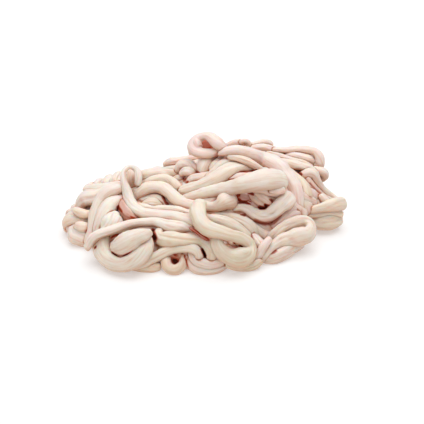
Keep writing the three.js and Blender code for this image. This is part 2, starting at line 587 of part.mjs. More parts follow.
// The outer skin of a solid as a mesh's geometry: sealed hollows and loose scraps are left out, again
// after close points are made one, until only the skin is left
function outerSkin(solid) {
  let skins = solid.decompose();
  let geometry;
  do {
    const largest = skins.reduce((best, skin) => (skin.volume() > best.volume() ? skin : best));
    geometry = toGeometry(largest);
    skins = toSolid(toGeometry(largest)).decompose();
  } while (skins.length > 1);
  return geometry;
}

// The same geometry with a hair pared off its skin, but for the flat underside, which stays at the floor
function pare(geometry) {
  const place = geometry.attributes.position;
  const normal = geometry.attributes.normal;
  for (let i = 0; i < place.count; i++) {
    const onFloor = place.getZ(i) < MERGE_WITHIN;
    place.setXYZ(i, place.getX(i) - PARE * normal.getX(i), place.getY(i) - PARE * normal.getY(i),
      onFloor ? 0 : Math.max(place.getZ(i) - PARE * normal.getZ(i), PARE));
  }
  return geometry;
}

// All strands of the heap: the drawn ones, then those of the hidden sides
function layHeap() {
  const front = makeSight(0, EYE_CLIMB);
  const laid = [];
  const strands = [];
  const keep = (strand) => {
    laid.push(...strand);
    strands.push(strand);
  };
  for (const route of DRAWN_REGIONS.flatMap((region) => Object.values(region))) {
    keep(layStrand(route, front, { laid }));
  }
  const drawn = laid.slice();
  const draw = makeDraw(HIDDEN_SEED);
  for (let level = 0; level < ROW_COUNT; level++) keep(layRow(draw, level));
  for (const group of THROWN_GROUPS) {
    const sight = makeSight(group.azimuth, group.climb);
    for (let loop = 0; loop < group.loops; loop++) {
      const whole = layStrand(thrownLoop(draw, group), sight, { laid, tuck: HIDDEN_TUCK });
      hiddenStretches(whole, front, drawn).forEach(keep);
    }
  }
  return strands;
}

const built = layHeap().filter((strand) => strand.length * LAY_STEP > SHORTEST_BUILT);
const solids = [...lobeSolids(), ...built.flatMap(strandSolids)];
const heap = pare(outerSkin(aboveFloor(wasm.Manifold.union(solids))));
heap.translate(-HEAP_MIDDLE.x, -HEAP_MIDDLE.y, 0);

const group = new THREE.Group();
const gut = new THREE.MeshStandardMaterial({ color: 0xe6cbbb, roughness: 0.32, metalness: 0 });
const smallIntestine = new THREE.Mesh(heap, gut);
smallIntestine.name = 'small_intestine';
group.add(smallIntestine);

export default group;
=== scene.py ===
"""Washed pork small intestine, heaped on itself.

The strands are real tubes of gut, let down one on another over a core. Those that show are drawn on the
sight plane, which stands square to the line of sight, as right, up and width in millimetres. The heap is
worked out in millimetres from the floor point under the line of sight, and is moved and turned into metres
as its meshes are made.
"""

import functools
import math

import bmesh
import bpy
import numpy as np
from bpy.props import FloatProperty, FloatVectorProperty, IntProperty, PointerProperty
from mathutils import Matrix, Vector


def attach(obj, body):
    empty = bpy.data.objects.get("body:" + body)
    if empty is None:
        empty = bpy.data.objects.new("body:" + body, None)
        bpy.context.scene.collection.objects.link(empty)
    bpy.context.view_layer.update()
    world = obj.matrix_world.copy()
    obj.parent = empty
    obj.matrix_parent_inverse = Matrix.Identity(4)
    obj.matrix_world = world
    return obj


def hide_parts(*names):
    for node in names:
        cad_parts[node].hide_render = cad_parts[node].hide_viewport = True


bl_info = {
    "name": "Heaped Pork Small Intestine",
    "version": (1, 0, 0),
    "blender": (4, 5, 0),
    "location": "View3D > Sidebar > Gut Heap",
    "description": "Builds a heap of washed pork small intestine and the stage that it lies on",
    "category": "Add Mesh",
}

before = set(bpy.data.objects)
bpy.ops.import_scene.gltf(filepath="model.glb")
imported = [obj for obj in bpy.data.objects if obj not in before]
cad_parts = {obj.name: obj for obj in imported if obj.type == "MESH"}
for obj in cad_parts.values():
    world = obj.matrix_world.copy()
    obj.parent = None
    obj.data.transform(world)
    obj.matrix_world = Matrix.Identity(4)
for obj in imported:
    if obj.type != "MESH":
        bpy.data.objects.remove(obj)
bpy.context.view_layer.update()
NODE = "small_intestine"
BODY = "root"
METRES = 0.001

# Keeps a division by a length of nothing from failing
TINY = 1e-9

# Line of sight: how far off the eye is, how steeply it looks down, and the point of the heap it looks at
EYE_DISTANCE = 1000
EYE_CLIMB = 31
LOOK_RIGHT = 6.6
LOOK_UP = 9.2

# Where the middle of the heap's outline lies from the floor point under the line of sight
HEAP_MIDDLE = (-3.585, -12.383, 0.0)

# Laying: points that the drawn curve has between two of a route's, spacing of the points along a strand,
# how far two strands press into each other (1 is just touching), how deep a strand sinks where it lies on
# the floor, the tightest bend it takes in depth, and how far on a strand may lie across itself
CURVE_DIVISIONS = 12
LAY_STEP = 4
PRESS = 0.86
FLOOR_REST = 0.85
DRAPE_RADIUS = 28
SMOOTHINGS = 6
OWN_GAP = 40

# Ends: over what length a strand's end tucks in, and how deep, in radii, on the drawn and hidden sides
TUCK_LENGTH = 14
DRAWN_TUCK = 0.7
HIDDEN_TUCK = 1.6

# Lift of a strand's centre off the core, in radii: laid on it, half sunk in it behind, deeper in front
LAID_LIFT = 0.8
SUNK_LIFT = 0.15
FRONT_SUNK_LIFT = -0.5

# Core lobes: place on the floor and half lengths, and how sharply one gives way to the next
LOBES = np.array([
    [42, 14, 102, 86, 69],
    [88, 34, 62, 58, 55],
    [-84, 10, 66, 60, 45],
    [-72, -42, 66, 60, 36],
    [-15, -56, 86, 58, 40],
    [-148, -14, 32, 44, 24],
], float)
LOBE_MIDDLES = np.column_stack([LOBES[:, :2], np.zeros(len(LOBES))])
LOBE_BLEND = 6

# Repeatable draws: a linear congruential generator's factor, shift and range
DRAW_FACTOR = 1664525
DRAW_SHIFT = 1013904223
DRAW_RANGE = 2 ** 32

# Strands of the hidden sides. Rows run round the core, half sunk in it, at heights that are even along its
# slope. They swing up and down together, each lagging behind the one below, and each has a seeded swell,
# ripple and bulge of its own, weaker in the foot row
HIDDEN_SEED = 7
HIDDEN_COARSENESS = 1.5
ROW_AXIS = (10, 5)
ROW_TOP = 69
ROW_RISE = 0.19
ROW_COUNT = 4
UPPER_ROW_COUNT = 3
ROW_FROM = 70
ROW_TO = 290
ROW_END_SPREAD = 12
ROW_POINTS = 91
WHOLE_ROW_POINTS = 181
WHOLE_ROW_OVERLAP = 0.1
ROW_SWING = 7
ROW_SWING_BEATS = 4
ROW_SWING_LAG = 0.45
ROW_RIPPLE = (1, 2.5)
ROW_RIPPLE_BEATS = (6, 9)
ROW_BULGE = 0.35
ROW_BULGE_PACE = 0.6
ROW_SWELL = 0.05
ROW_SWELL_PACE = 3
FOOT_WAVE = 0.4
FRONT_SINK_POWER = 0.7
ROW_WIDTH = (14.5, 17.5)

# Loops thrown over the rows, each group seen from its own eye, round the middle and within the half sizes
# of an oval on its sight plane: how far out in it they start and may go, how they head off, how often they
# turn, and the radius and length of their easy arcs and tight turns
THROWN_GROUPS = (
    {"azimuth": 180, "climb": 50, "loops": 5, "middle": (0, -14), "half": (130, 52)},
    {"azimuth": 118, "climb": 36, "loops": 2, "middle": (20, -8), "half": (80, 40)},
    {"azimuth": -118, "climb": 36, "loops": 2, "middle": (-6, -12), "half": (70, 36)},
)
THROWN_WIDTH = (13, 17)
WIDTH_SPREAD = (0.92, 1.08)
THROWN_START = 0.8
THROWN_EDGE = 1.07
THROWN_LEAN = 0.5
THROWN_TURNS = (1.6, 3.4)
EASY_RADIUS = (50, 150)
EASY_RUN = (40, 110)
TURN_RADIUS = (12, 20)
TURN_SWEEP = (100, 190)
HIDDEN_SPACING = 12

# Only the stretches of a thrown loop that the drawn strands or the core hide from the front eye stay: length
# of the shortest, how far off its middle, in radii, and on which sides it is looked at, and how wide a gap
# between drawn strands may be seen through
SHORTEST_HIDDEN = 56
HIDDEN_EDGE = 1
HIDDEN_SIDES = (-1, 0, 1)
GAP_ALLOWED = 4

# Inner loops lie side by side over the whole core under all others, drawn from above, and are sunk in it
INNER_CLIMB = 82
INNER_FROM = -124
INNER_TO = 150
INNER_SPACING = 12.5
INNER_HALF_LENGTH = 190
INNER_SWING = 9
INNER_BEATS = 0.042
INNER_LAG = 0.02
INNER_RIPPLE = 2
INNER_LIFT = -0.5
INNER_WIDTH = (16, 19)
SHORTEST_INNER = 12

# Soft waves along a strand: octaves, how much each may be stretched and warped, and what evens out their sum
WAVE_OCTAVES = (1.0, 1.7, 2.9)
WAVE_STRETCH = (0.8, 1.25)
WAVE_WARP = 0.6
WAVE_SUM = 1.6

# Unevenness of a strand's tube. Each wave has a wavelength in millimetres and a strength in radii
TUBE_DIVISIONS = 4
WIDTH_WAVE = (46, 0.05)
RIPPLE_WAVE = (15, 0.018)
FLATNESS = 0.10
FLATNESS_SPREAD = 0.06
FLATNESS_WAVE = (60, 0.05)
THREE_SIDED_WAVE = (34, 0.03)
FRAME_BLURS = 8

# Grooves along a strand's collapsed wall: how many, where round it and how that wanders, how wide, all in
# radians, how deep, in radii, where along it, as a share of its length, and over what length they fade
GROOVE_COUNT = (2, 5)
GROOVE_PLACE = (-1.5, 1.5)
GROOVE_WANDER = (70, 0.35)
GROOVE_WIDTH = (0.16, 0.3)
GROOVE_DEPTH = (0.05, 0.13)
GROOVE_MIDDLE = (0.1, 0.9)
GROOVE_REACH = (25, 60)

# A strand's round ends: over how many radii they close, the share of a ring's area left at the tip, and how
# far they reach past its last point, in radii. A thrown loop bends into the heap at its ends instead: radius
# of the bend and depth of its end in the core, in radii, and how far it goes at most
END_ROUNDING = 0.9
TIP_AREA = 0.003
END_REACH = 0.75
BEND_RADIUS = 1.1
BEND_STEPS = 5
TAIL_LENGTH = 40
TAIL_DEPTH = 1.0

# How near another strand has to be for the line of painted shade where they touch to show, and how far
# inside a strand's drawn radius its flattened wall lies. Strands crowd a wall, which sets its painted shade,
# up to this far off, which is worked out for so many of its points at once
TOUCH_REACH = 1.8
TOUCH_INSIDE = 0.94
CROWD_REACH = 30
POINTS_AT_ONCE = 4000

# Looks of the tubes: how high they stay off the floor, how far apart the grain of two strands lies, and how
# much the tints of a region's strands differ, with each tint's share of that
TUBE_CLEARANCE = 0.15
GRAIN_SHIFT = 97.0
TINT_SPREAD = 0.1
TINT_SHARES = (0.0, 1.0, 0.5, 0.0)

# A pool, of blood and of painted shade, is darkest within a share of its width and fades over another, and
# shows only where the heap is crowded. Pools and stains fade round the walls that face away from the viewer,
# pools further round
POOL_MIDDLE = 0.3
POOL_EDGE = 0.4
LEAST_CROWDING = 0.1
CROWDING_FADE = 0.35
VIEWER_FACING = 0.5
VIEWER_FADE = 0.7
POOL_ROUND = 0.5
STAIN_ROUND = -0.25

# Core: how far inside the strands' own core it lies, in millimetres, and in metres how fine its skin is and
# how high it stays off the floor
CORE_INSET = 1.5
LOBE_DIVISIONS = 5
CORE_VOXEL = 0.002
CORE_SMOOTHINGS = 6
CORE_CLEARANCE = 0.0003

# Stage, in metres: half the floor's width, each softbox's place, width and power, the surround's strength,
# and the camera's sensor and lens in millimetres
FLOOR_HALF = 4.0
SOFTBOXES = {
    "overhead_softbox": ((0.1, 0.2, 1.35), 1.7, 18.4),
    "front_softbox": ((-0.9, -1.2, 1.0), 1.5, 4.0),
}
SURROUND_STRENGTH = 0.38
SENSOR_WIDTH = 36.0
LENS = 64.3

# Strands that show, in the order in which they lie: right, up and width of each point
FAR_TOP = {
    "top_far_left": [(21, 88, 8), (29, 91, 10), (38, 92, 10), (46, 91, 8)],
    "top_far_right": [(46, 87, 8), (56, 89, 9), (66, 92, 9), (75, 92, 8), (79, 89, 6)],
    "top_far_curl": [(38, 92, 7), (43, 94, 7), (48, 92, 7), (49, 88, 7)],
    "top_ledge": [(54, 84, 10), (66, 85, 12), (80, 82, 12), (95, 80, 10), (108, 79, 9)],
    "right_loop_outer": [(82, 82, 8), (98, 82, 9), (112, 83, 10), (125, 82, 12), (136, 79, 13),
        (142, 71, 14), (141, 63, 13), (134, 59, 10)],
    "right_loop_inner": [(99, 74, 9), (109, 74, 12), (120, 72, 13), (129, 70, 12), (132, 66, 10)],
    "right_loop_strap": [(74, 78, 8), (86, 75, 8), (98, 71, 8), (110, 68, 8), (121, 65, 8),
        (131, 60, 7)],
    "right_knuckle": [(136, 56, 11), (144, 54, 12), (149, 50, 12), (146, 44, 8)],
}
FAR_LEFT = {
    "finger": [(-61, 63, 10), (-55, 66, 12), (-46, 67, 12), (-36, 69, 11), (-26, 71, 11), (-17, 72, 10)],
    "finger_under": [(-64, 56, 9), (-54, 57, 11), (-44, 57, 11), (-36, 53, 9)],
    "far_left_fold_a": [(-161, 22, 11), (-163, 30, 13), (-159, 35, 11)],
    "far_left_fold_b": [(-150, 25, 12), (-152, 34, 14), (-148, 40, 12)],
    "far_left_fold_c": [(-138, 28, 12), (-140, 37, 14), (-136, 44, 12)],
    "far_left_fold_d": [(-126, 30, 12), (-128, 40, 14), (-124, 48, 12)],
    "far_left_knob": [(-164, 31, 11), (-156, 31, 13), (-144, 31, 14), (-132, 33, 14), (-122, 36, 12)],
    "left_shoulder": [(-172, 4, 12), (-173, 12, 16), (-166, 18, 19), (-154, 20, 18), (-142, 25, 16),
        (-130, 30, 14), (-120, 35, 11)],
    "left_end_turn": [(-192, -22, 9), (-192, -13, 13), (-184, -9, 14), (-172, -10, 14), (-160, -12, 13)],
    "left_low_knob": [(-183, -24, 15), (-180, -30, 20), (-172, -34, 19), (-160, -38, 17)],
    "left_dim_a": [(-181, 3, 8), (-173, -1, 11), (-164, -3, 12), (-156, 0, 10)],
    "left_dim_b": [(-178, -18, 11), (-170, -20, 14), (-160, -20, 12)],
}
BEHIND_ARCH = {
    "loop_right_leg": [(-93, 30, 8), (-91, 40, 10), (-92, 49, 10)],
    "loop_inside": [(-112, 54, 9), (-106, 49, 13), (-107, 41, 13), (-105, 33, 10)],
    "back_band_high": [(-93, 48, 12), (-84, 50, 15), (-72, 51, 15), (-59, 51, 13), (-47, 50, 11),
        (-36, 48, 9)],
    "dim_ball": [(-50, 43, 10), (-43, 44, 11), (-36, 42, 9)],
    "small_hook": [(-46, 55, 9), (-44, 61, 10), (-36, 64, 11), (-28, 62, 11), (-23, 55, 10),
        (-20, 48, 8)],
    "small_ball": [(-40, 51, 9), (-35, 54, 12), (-28, 53, 12), (-24, 47, 10)],
    "back_band_low": [(-90, 38, 9), (-76, 43, 11), (-63, 44, 12), (-52, 39, 12), (-44, 31, 12),
        (-40, 23, 8)],
    "upright_fold": [(-14, 48, 14), (-11, 57, 18), (-8, 66, 16), (-1, 71, 12), (8, 72, 9)],
    "fold_shade": [(-2, 57, 9), (4, 63, 10), (9, 68, 8)],
    "ring_pit": [(-14, 84, 12), (-8, 89, 17), (2, 91, 15)],
    "top_ring": [(16, 84.5, 9), (6, 79.5, 11), (-4, 77.5, 12), (-14, 78, 13), (-21.5, 82, 15),
        (-22.5, 90, 16), (-17, 97.5, 12), (-9, 100.5, 10), (-2, 99, 12), (5, 93, 15), (12, 87, 13),
        (18, 82, 9)],
    "crossing_hook": [(-32, 36, 9), (-28, 43, 10), (-20, 46, 11), (-11, 47, 11), (-2, 50, 10)],
    "crossing_upper": [(-6, 45, 9), (2, 53, 10), (10, 61, 11), (19, 66, 11), (31, 67, 10), (43, 64, 9),
        (54, 59, 8), (64, 55, 7)],
    "crossing_lower": [(-40, 28, 12), (-28, 31, 14), (-12, 36, 16), (3, 43, 18), (15, 51, 19),
        (27, 57, 18), (40, 59, 14), (54, 57, 10)],
}
UPPER_RIGHT = {
    "right_arm": [(84, 68, 10), (97, 65, 12), (110, 62, 12), (121, 60, 10), (131, 57, 9), (138, 50, 8)],
    "right_spar": [(113, 46, 9), (120, 49, 12), (128, 52, 13), (135, 50, 13), (139, 42, 12),
        (146, 31, 10), (154, 24, 9), (163, 17, 9)],
    "right_spar_low": [(127, 44, 8), (131, 37, 9), (137, 30, 9), (146, 22, 8), (156, 16, 8),
        (164, 12, 7)],
    "right_dim_a": [(126, 32, 9), (135, 23, 11), (144, 14, 10), (152, 7, 9)],
    "right_dim_b": [(133, 20, 10), (136, 12, 12), (138, 4, 11), (143, -2, 9)],
    "right_dim_c": [(144, 21, 9), (152, 13, 10), (161, 7, 9)],
    "side_strip": [(100, 57, 8), (111, 47, 10), (120, 37, 12), (125, 26, 13), (126, 13, 13),
        (129, 3, 12), (138, -2, 10), (150, -4, 9)],
    "diagonal": [(10, 77, 7), (18, 80, 11), (31, 81, 14), (46, 77, 18), (60, 72, 21), (74, 67, 22),
        (87, 60, 22), (98, 50, 21), (106, 39, 19), (111, 27, 18), (113, 15, 16), (114, 4, 14),
        (118, -4, 10)],
    "diagonal_fold": [(22, 73, 7), (34, 71, 9), (46, 67, 10), (57, 61, 9), (66, 56, 7)],
}
RIGHT_END = {
    "right_end_low": [(130, -13, 13), (140, -14, 16), (151, -13, 19), (160, -12, 19), (165, -10, 16)],
    "right_end_mid": [(126, -3, 8), (139, -2, 8), (151, -1, 8), (163, -1, 8), (171, -3, 7)],
    "right_end_top": [(130, 2, 8), (143, 5, 10), (154, 8, 13), (163, 10, 15), (170, 11, 15)],
}
MIDDLE = {
    "dim_middle_a": [(28, 23, 9), (37, 20, 11), (46, 19, 11), (54, 17, 8)],
    "dim_middle_b": [(48, 13, 7), (55, 10, 9), (63, 7, 9)],
    "dim_middle_c": [(52, 25, 9), (58, 19, 11), (64, 13, 11), (69, 8, 8)],
    "dim_middle_e": [(58, 28, 8), (66, 21, 10), (73, 15, 9), (78, 11, 7)],
    "dim_middle_d": [(55, 29, 7), (66, 29, 8), (76, 26, 9), (86, 25, 8), (96, 27, 7)],
    "thick_end_under": [(77, 28, 6), (86, 27, 8), (94, 29, 8)],
    "short_thick": [(114, 0, 12), (105, -2, 15), (97, -8, 15), (89, -15, 13), (80, -22, 10)],
    "tucked_fold": [(24, 45, 8), (34, 47, 9), (44, 48, 9), (53, 51, 8)],
    "thick_middle": [(-38, 19, 7), (-24, 22, 12), (-8, 26, 14), (8, 29, 16), (24, 32, 18), (40, 36, 20),
        (55, 40, 23), (70, 43, 25), (80, 43, 26), (85, 42, 25)],
    "hollow_wave": [(28, 3, 8), (37, 6, 10), (46, 4, 12), (56, -2, 14), (65, -5, 15), (74, -4, 16),
        (82, 1, 17), (90, 8, 18), (97, 14, 20), (100, 18, 20)],
}
LEFT_OF_MIDDLE = {
    "little_dome": [(-98, 9, 8), (-92, 15, 9), (-82, 19, 9), (-73, 19, 9), (-67, 14, 9), (-63, 7, 8)],
    "dome_inside": [(-90, 10, 11), (-79, 12.5, 13), (-69, 9, 10)],
    "arch_and_knob": [(-104, 16, 10), (-99, 23, 13), (-90, 30, 15), (-79, 33, 15), (-66, 32, 15),
        (-55, 25, 14), (-47, 17, 15), (-38, 12, 14), (-27, 10, 13), (-12, 9, 12), (0, 7, 12), (9, 9, 15),
        (16, 14, 20), (22, 15.5, 24)],
    "arch_foot": [(-100, 9, 7), (-88, 7, 8), (-75, 5, 8), (-62, 5, 8), (-48, 4, 8), (-38, 2, 7),
        (-29, -2, 6)],
    "left_descent": [(-120, 33, 14), (-136, 27, 16), (-147, 16, 15), (-153, 3, 14), (-157, -12, 13),
        (-159, -26, 13), (-164, -40, 11)],
    "left_inner_arch": [(-121, 18, 12), (-131, 13, 17), (-139, 3, 19), (-145, -8, 18), (-150, -19, 14),
        (-153, -29, 10)],
    "red_wall": [(-120, 13, 8), (-117, 4, 12), (-110, -5, 13), (-101, -10, 9)],
    "white_lobe": [(-127, -2, 10), (-130, -7, 19), (-132, -13, 24), (-136, -21, 25), (-141, -29, 20)],
    "loop_and_band": [(-98, 36, 8), (-97, 45, 9), (-98, 53, 8), (-103.5, 58.5, 6), (-111, 59, 5.5),
        (-117, 52, 6), (-116.5, 41, 7.5), (-112.5, 28, 10.5), (-108, 14, 12.5), (-101, 4, 14),
        (-89, -2, 14), (-72, -4, 14), (-55, -5, 13), (-40, -8, 13), (-27, -13, 12), (-14, -19, 9)],
}
LOWER_LEFT = {
    "base_left": [(-108, -73, 7), (-96, -73, 11), (-82, -73, 13), (-70, -74, 11)],
    "snail": [(-58, -57, 8), (-61, -65, 12), (-58, -73, 13), (-50, -77, 13), (-42, -73, 12),
        (-38, -65, 10), (-39, -57, 8)],
    "smile_low": [(-31, -58, 8), (-28, -68, 11), (-20, -75, 12), (-9, -77, 12), (4, -76, 12),
        (14, -72, 10), (22, -67, 7)],
    "smile_high": [(-27, -54, 9), (-23, -62, 11), (-14, -67, 11), (-3, -69, 11), (9, -67, 10),
        (19, -63, 8)],
    "front_low_band": [(-104, -72, 8), (-92, -69, 10), (-82, -63, 11), (-70, -57, 11), (-58, -51.5, 11),
        (-46, -48, 11), (-34, -47, 11), (-24, -49, 11), (-18, -54, 10), (-17, -60, 9)],
    "stain_bit": [(-139, -35, 8), (-131, -33, 9), (-123, -30, 8)],
    "front_left_bend": [(-147, -36, 20), (-146, -49, 21), (-140, -60, 19), (-130, -67, 18),
        (-117, -69, 18), (-104, -63.5, 20), (-93, -53, 23), (-87, -43, 19), (-87, -34, 13),
        (-88, -27, 9)],
    "inside_bend": [(-127, -46, 15), (-120, -44, 23), (-110, -39, 25), (-99, -33, 22), (-90, -30, 16),
        (-82, -27, 9)],
    "long_band_under": [(-165, -48, 7), (-157, -38, 7), (-147, -31, 7), (-134, -27, 7), (-120, -23.5, 7),
        (-106, -20, 7), (-92, -18, 7), (-78, -18, 6)],
    "long_band": [(-165, -46, 9), (-158, -34, 10), (-147, -28, 10), (-132, -23, 10), (-116, -17.5, 10),
        (-102, -14, 10), (-86, -13, 10), (-74, -13, 11), (-64, -16, 13), (-53, -19, 17), (-41, -20, 15),
        (-31, -22, 10), (-23, -26, 6)],
}
CENTRE_RIGHT = {
    "sag_strand": [(46, -11, 9), (55, -20, 11), (63, -27, 12), (72, -31, 11), (81, -32, 10),
        (90, -34, 8)],
    "lacy_bulge": [(-8, -2, 6), (6, -2, 8), (18, -4, 9), (30, -8, 11), (41, -12, 12), (49, -18, 13),
        (54, -25, 12), (57, -33, 9)],
    "hollow_pit": [(76, -54, 8), (84, -51, 8), (92, -47, 6)],
    "right_foot": [(66, -62, 10), (77, -62, 14), (88, -58, 15), (98, -52.5, 14), (109, -47, 12),
        (118, -44, 8)],
    "loop_lining": [(88, -31, 7), (98, -25, 8), (108, -21, 8), (119, -19, 7)],
    "right_front_loop": [(76, -36, 10), (84, -28, 12), (94, -20, 12), (106, -14, 12), (118, -11, 12),
        (128, -14, 11), (131, -21, 13), (126, -30, 19), (114, -33, 21), (101, -36, 18), (90, -39, 15),
        (82, -44, 11), (75, -50, 10), (68, -58, 10), (60, -66, 9)],
    "pale_twist": [(55, -31, 8), (60, -37, 11), (65, -43, 10), (69, -48, 7)],
    "front_twist": [(76, -36, 8), (70, -43, 10), (65, -51, 10), (60, -60, 9), (55, -67, 8)],
}
FRONT_CENTRE = {
    "base_middle": [(20, -69, 8), (30, -72, 9), (44, -73, 10), (56, -70, 10), (64, -65, 8)],
    "front_wave": [(-69, -24, 8), (-71, -30, 13), (-66, -35, 18), (-55, -36, 18), (-42, -36, 14),
        (-29, -37, 13), (-17, -38.5, 13), (-6, -44, 14), (0, -53, 13), (-1, -61, 11)],
    "hole_bit": [(19, -39, 7), (25, -42, 8), (31, -43, 8)],
    "hole_bit_right": [(30, -38, 6), (36, -41, 7), (42, -41, 6)],
    "red_streak": [(-29, -21, 3), (-20, -27, 4), (-11, -33, 5), (-5, -37, 4)],
    "parallel_band": [(-8, -8, 9), (3, -9.5, 13), (15, -12.5, 15), (26, -17, 15), (36, -22.5, 14),
        (45, -30, 11), (50, -37, 9)],
    "great_loop": [(15, -28, 11), (8, -34, 12), (7, -42, 14), (12, -51, 17), (21, -58, 20),
        (34, -61, 22), (46, -57, 19), (51, -49, 15), (48, -41, 13), (38, -34.5, 13), (24, -30.5, 14),
        (10, -26, 16), (-4, -22, 17), (-14, -14, 18), (-18, -4, 18), (-18, 5, 18), (-17, 8, 17)],
}

# Strands of the drawn side, in the order in which they lie, with each region's tint: how ivory, pink and
# peach-coloured its strands are, and how stained with blood
DRAWN_REGIONS = (
    ("far_top_loops", FAR_TOP, (0.1, 0.65, 0.15, 0.0)),
    ("far_left_loops", FAR_LEFT, (0.1, 0.35, 0.1, 0.0)),
    ("loops_behind_arch", BEHIND_ARCH, (0.15, 0.45, 0.2, 0.02)),
    ("upper_right_loops", UPPER_RIGHT, (0.3, 0.45, 0.15, 0.0)),
    ("right_end_loops", RIGHT_END, (0.6, 0.15, 0.2, 0.0)),
    ("middle_loops", MIDDLE, (0.2, 0.5, 0.1, 0.05)),
    ("left_of_middle_loops", LEFT_OF_MIDDLE, (0.1, 0.3, 0.1, 0.0)),
    ("lower_left_loops", LOWER_LEFT, (0.6, 0.15, 0.1, 0.0)),
    ("centre_right_loops", CENTRE_RIGHT, (0.4, 0.3, 0.12, 0.0)),
    ("front_centre_loops", FRONT_CENTRE, (0.9, 0.0, 0.1, 0.0)),
)

# Strands whose tint departs from their region's
STRAND_TINTS = {
    "ring_pit": (0.0, 0.5, 0.3, 0.85),
    "top_ring": (0.0, 0.75, 0.0, 0.0),
    "finger": (0.0, 0.6, 0.25, 0.0),
    "left_dim_a": (0.3, 0.2, 0.6, 0.0),
    "left_dim_b": (0.3, 0.2, 0.5, 0.0),
    "left_end_turn": (0.3, 0.3, 0.4, 0.0),
    "loop_inside": (0.3, 0.3, 0.7, 0.1),
    "back_band_high": (0.1, 0.25, 0.25, 0.0),
    "back_band_low": (0.3, 0.15, 0.45, 0.0),
    "small_hook": (0.0, 0.7, 0.2, 0.0),
    "small_ball": (0.0, 0.7, 0.2, 0.0),
    "crossing_lower": (0.3, 0.1, 0.35, 0.0),
    "crossing_upper": (0.3, 0.15, 0.3, 0.0),
    "diagonal": (0.0, 0.7, 0.0, 0.0),
    "diagonal_fold": (0.1, 0.3, 0.5, 0.0),
    "side_strip": (0.95, 0.1, 0.4, 0.0),
    "right_spar_low": (0.0, 0.6, 0.5, 0.12),
    "dim_middle_a": (0.0, 0.9, 0.2, 0.4),
    "dim_middle_b": (0.0, 0.9, 0.2, 0.3),
    "dim_middle_c": (0.1, 0.7, 0.3, 0.05),
    "dim_middle_d": (0.1, 0.8, 0.1, 0.08),
    "dim_middle_e": (0.1, 0.7, 0.3, 0.05),
    "tucked_fold": (0.0, 0.95, 0.0, 0.05),
    "short_thick": (0.0, 0.75, 0.1, 0.05),
    "thick_middle": (0.35, 0.15, 0.0, 0.0),
    "hollow_wave": (0.1, 0.25, 0.0, 0.0),
    "little_dome": (0.1, 0.2, 0.2, 0.0),
    "dome_inside": (0.2, 0.15, 0.7, 0.05),
    "arch_and_knob": (0.15, 0.1, 0.3, 0.0),
    "red_wall": (0.0, 0.3, 0.6, 0.5),
    "red_streak": (0.0, 0.4, 0.4, 0.7),
    "white_lobe": (0.0, 0.05, 0.0, 0.0),
    "loop_and_band": (0.05, 0.15, 0.0, 0.0),
    "long_band": (0.1, 0.15, 0.05, 0.0),
    "inside_bend": (0.4, 0.0, 0.0, 0.0),
    "front_left_bend": (0.4, 0.1, 0.0, 0.0),
    "snail": (0.9, 0.0, 0.35, 0.04),
    "smile_low": (0.2, 0.4, 0.2, 0.0),
    "smile_high": (0.3, 0.4, 0.1, 0.0),
    "base_left": (1.0, 0.0, 0.5, 0.0),
    "loop_lining": (0.2, 0.1, 0.6, 0.1),
    "hollow_pit": (0.0, 0.5, 0.3, 0.4),
    "stain_bit": (0.0, 0.3, 0.6, 0.3),
    "pale_twist": (0.0, 0.65, 0.0, 0.0),
    "front_twist": (0.1, 0.6, 0.1, 0.0),
    "hole_bit": (0.4, 0.2, 0.6, 0.1),
    "hole_bit_right": (0.4, 0.2, 0.6, 0.1),
    "lacy_bulge": (0.5, 0.2, 0.1, 0.0),
    "parallel_band": (0.6, 0.05, 0.0, 0.0),
}

# Regions of the hidden sides: the tint of their strands and the shift of their seed. The drawn regions'
# seeds are shifted from a first shift on, in their order
HIDDEN_REGIONS = {
    "rows_round_core": ((0.25, 0.4, 0.15, 0.03), 0),
    "thrown_loops": ((0.2, 0.45, 0.1, 0.0), 1),
    "inner_loops": ((0.1, 0.6, 0.25, 0.1), 20),
}
DRAWN_SEED_SHIFT = 2
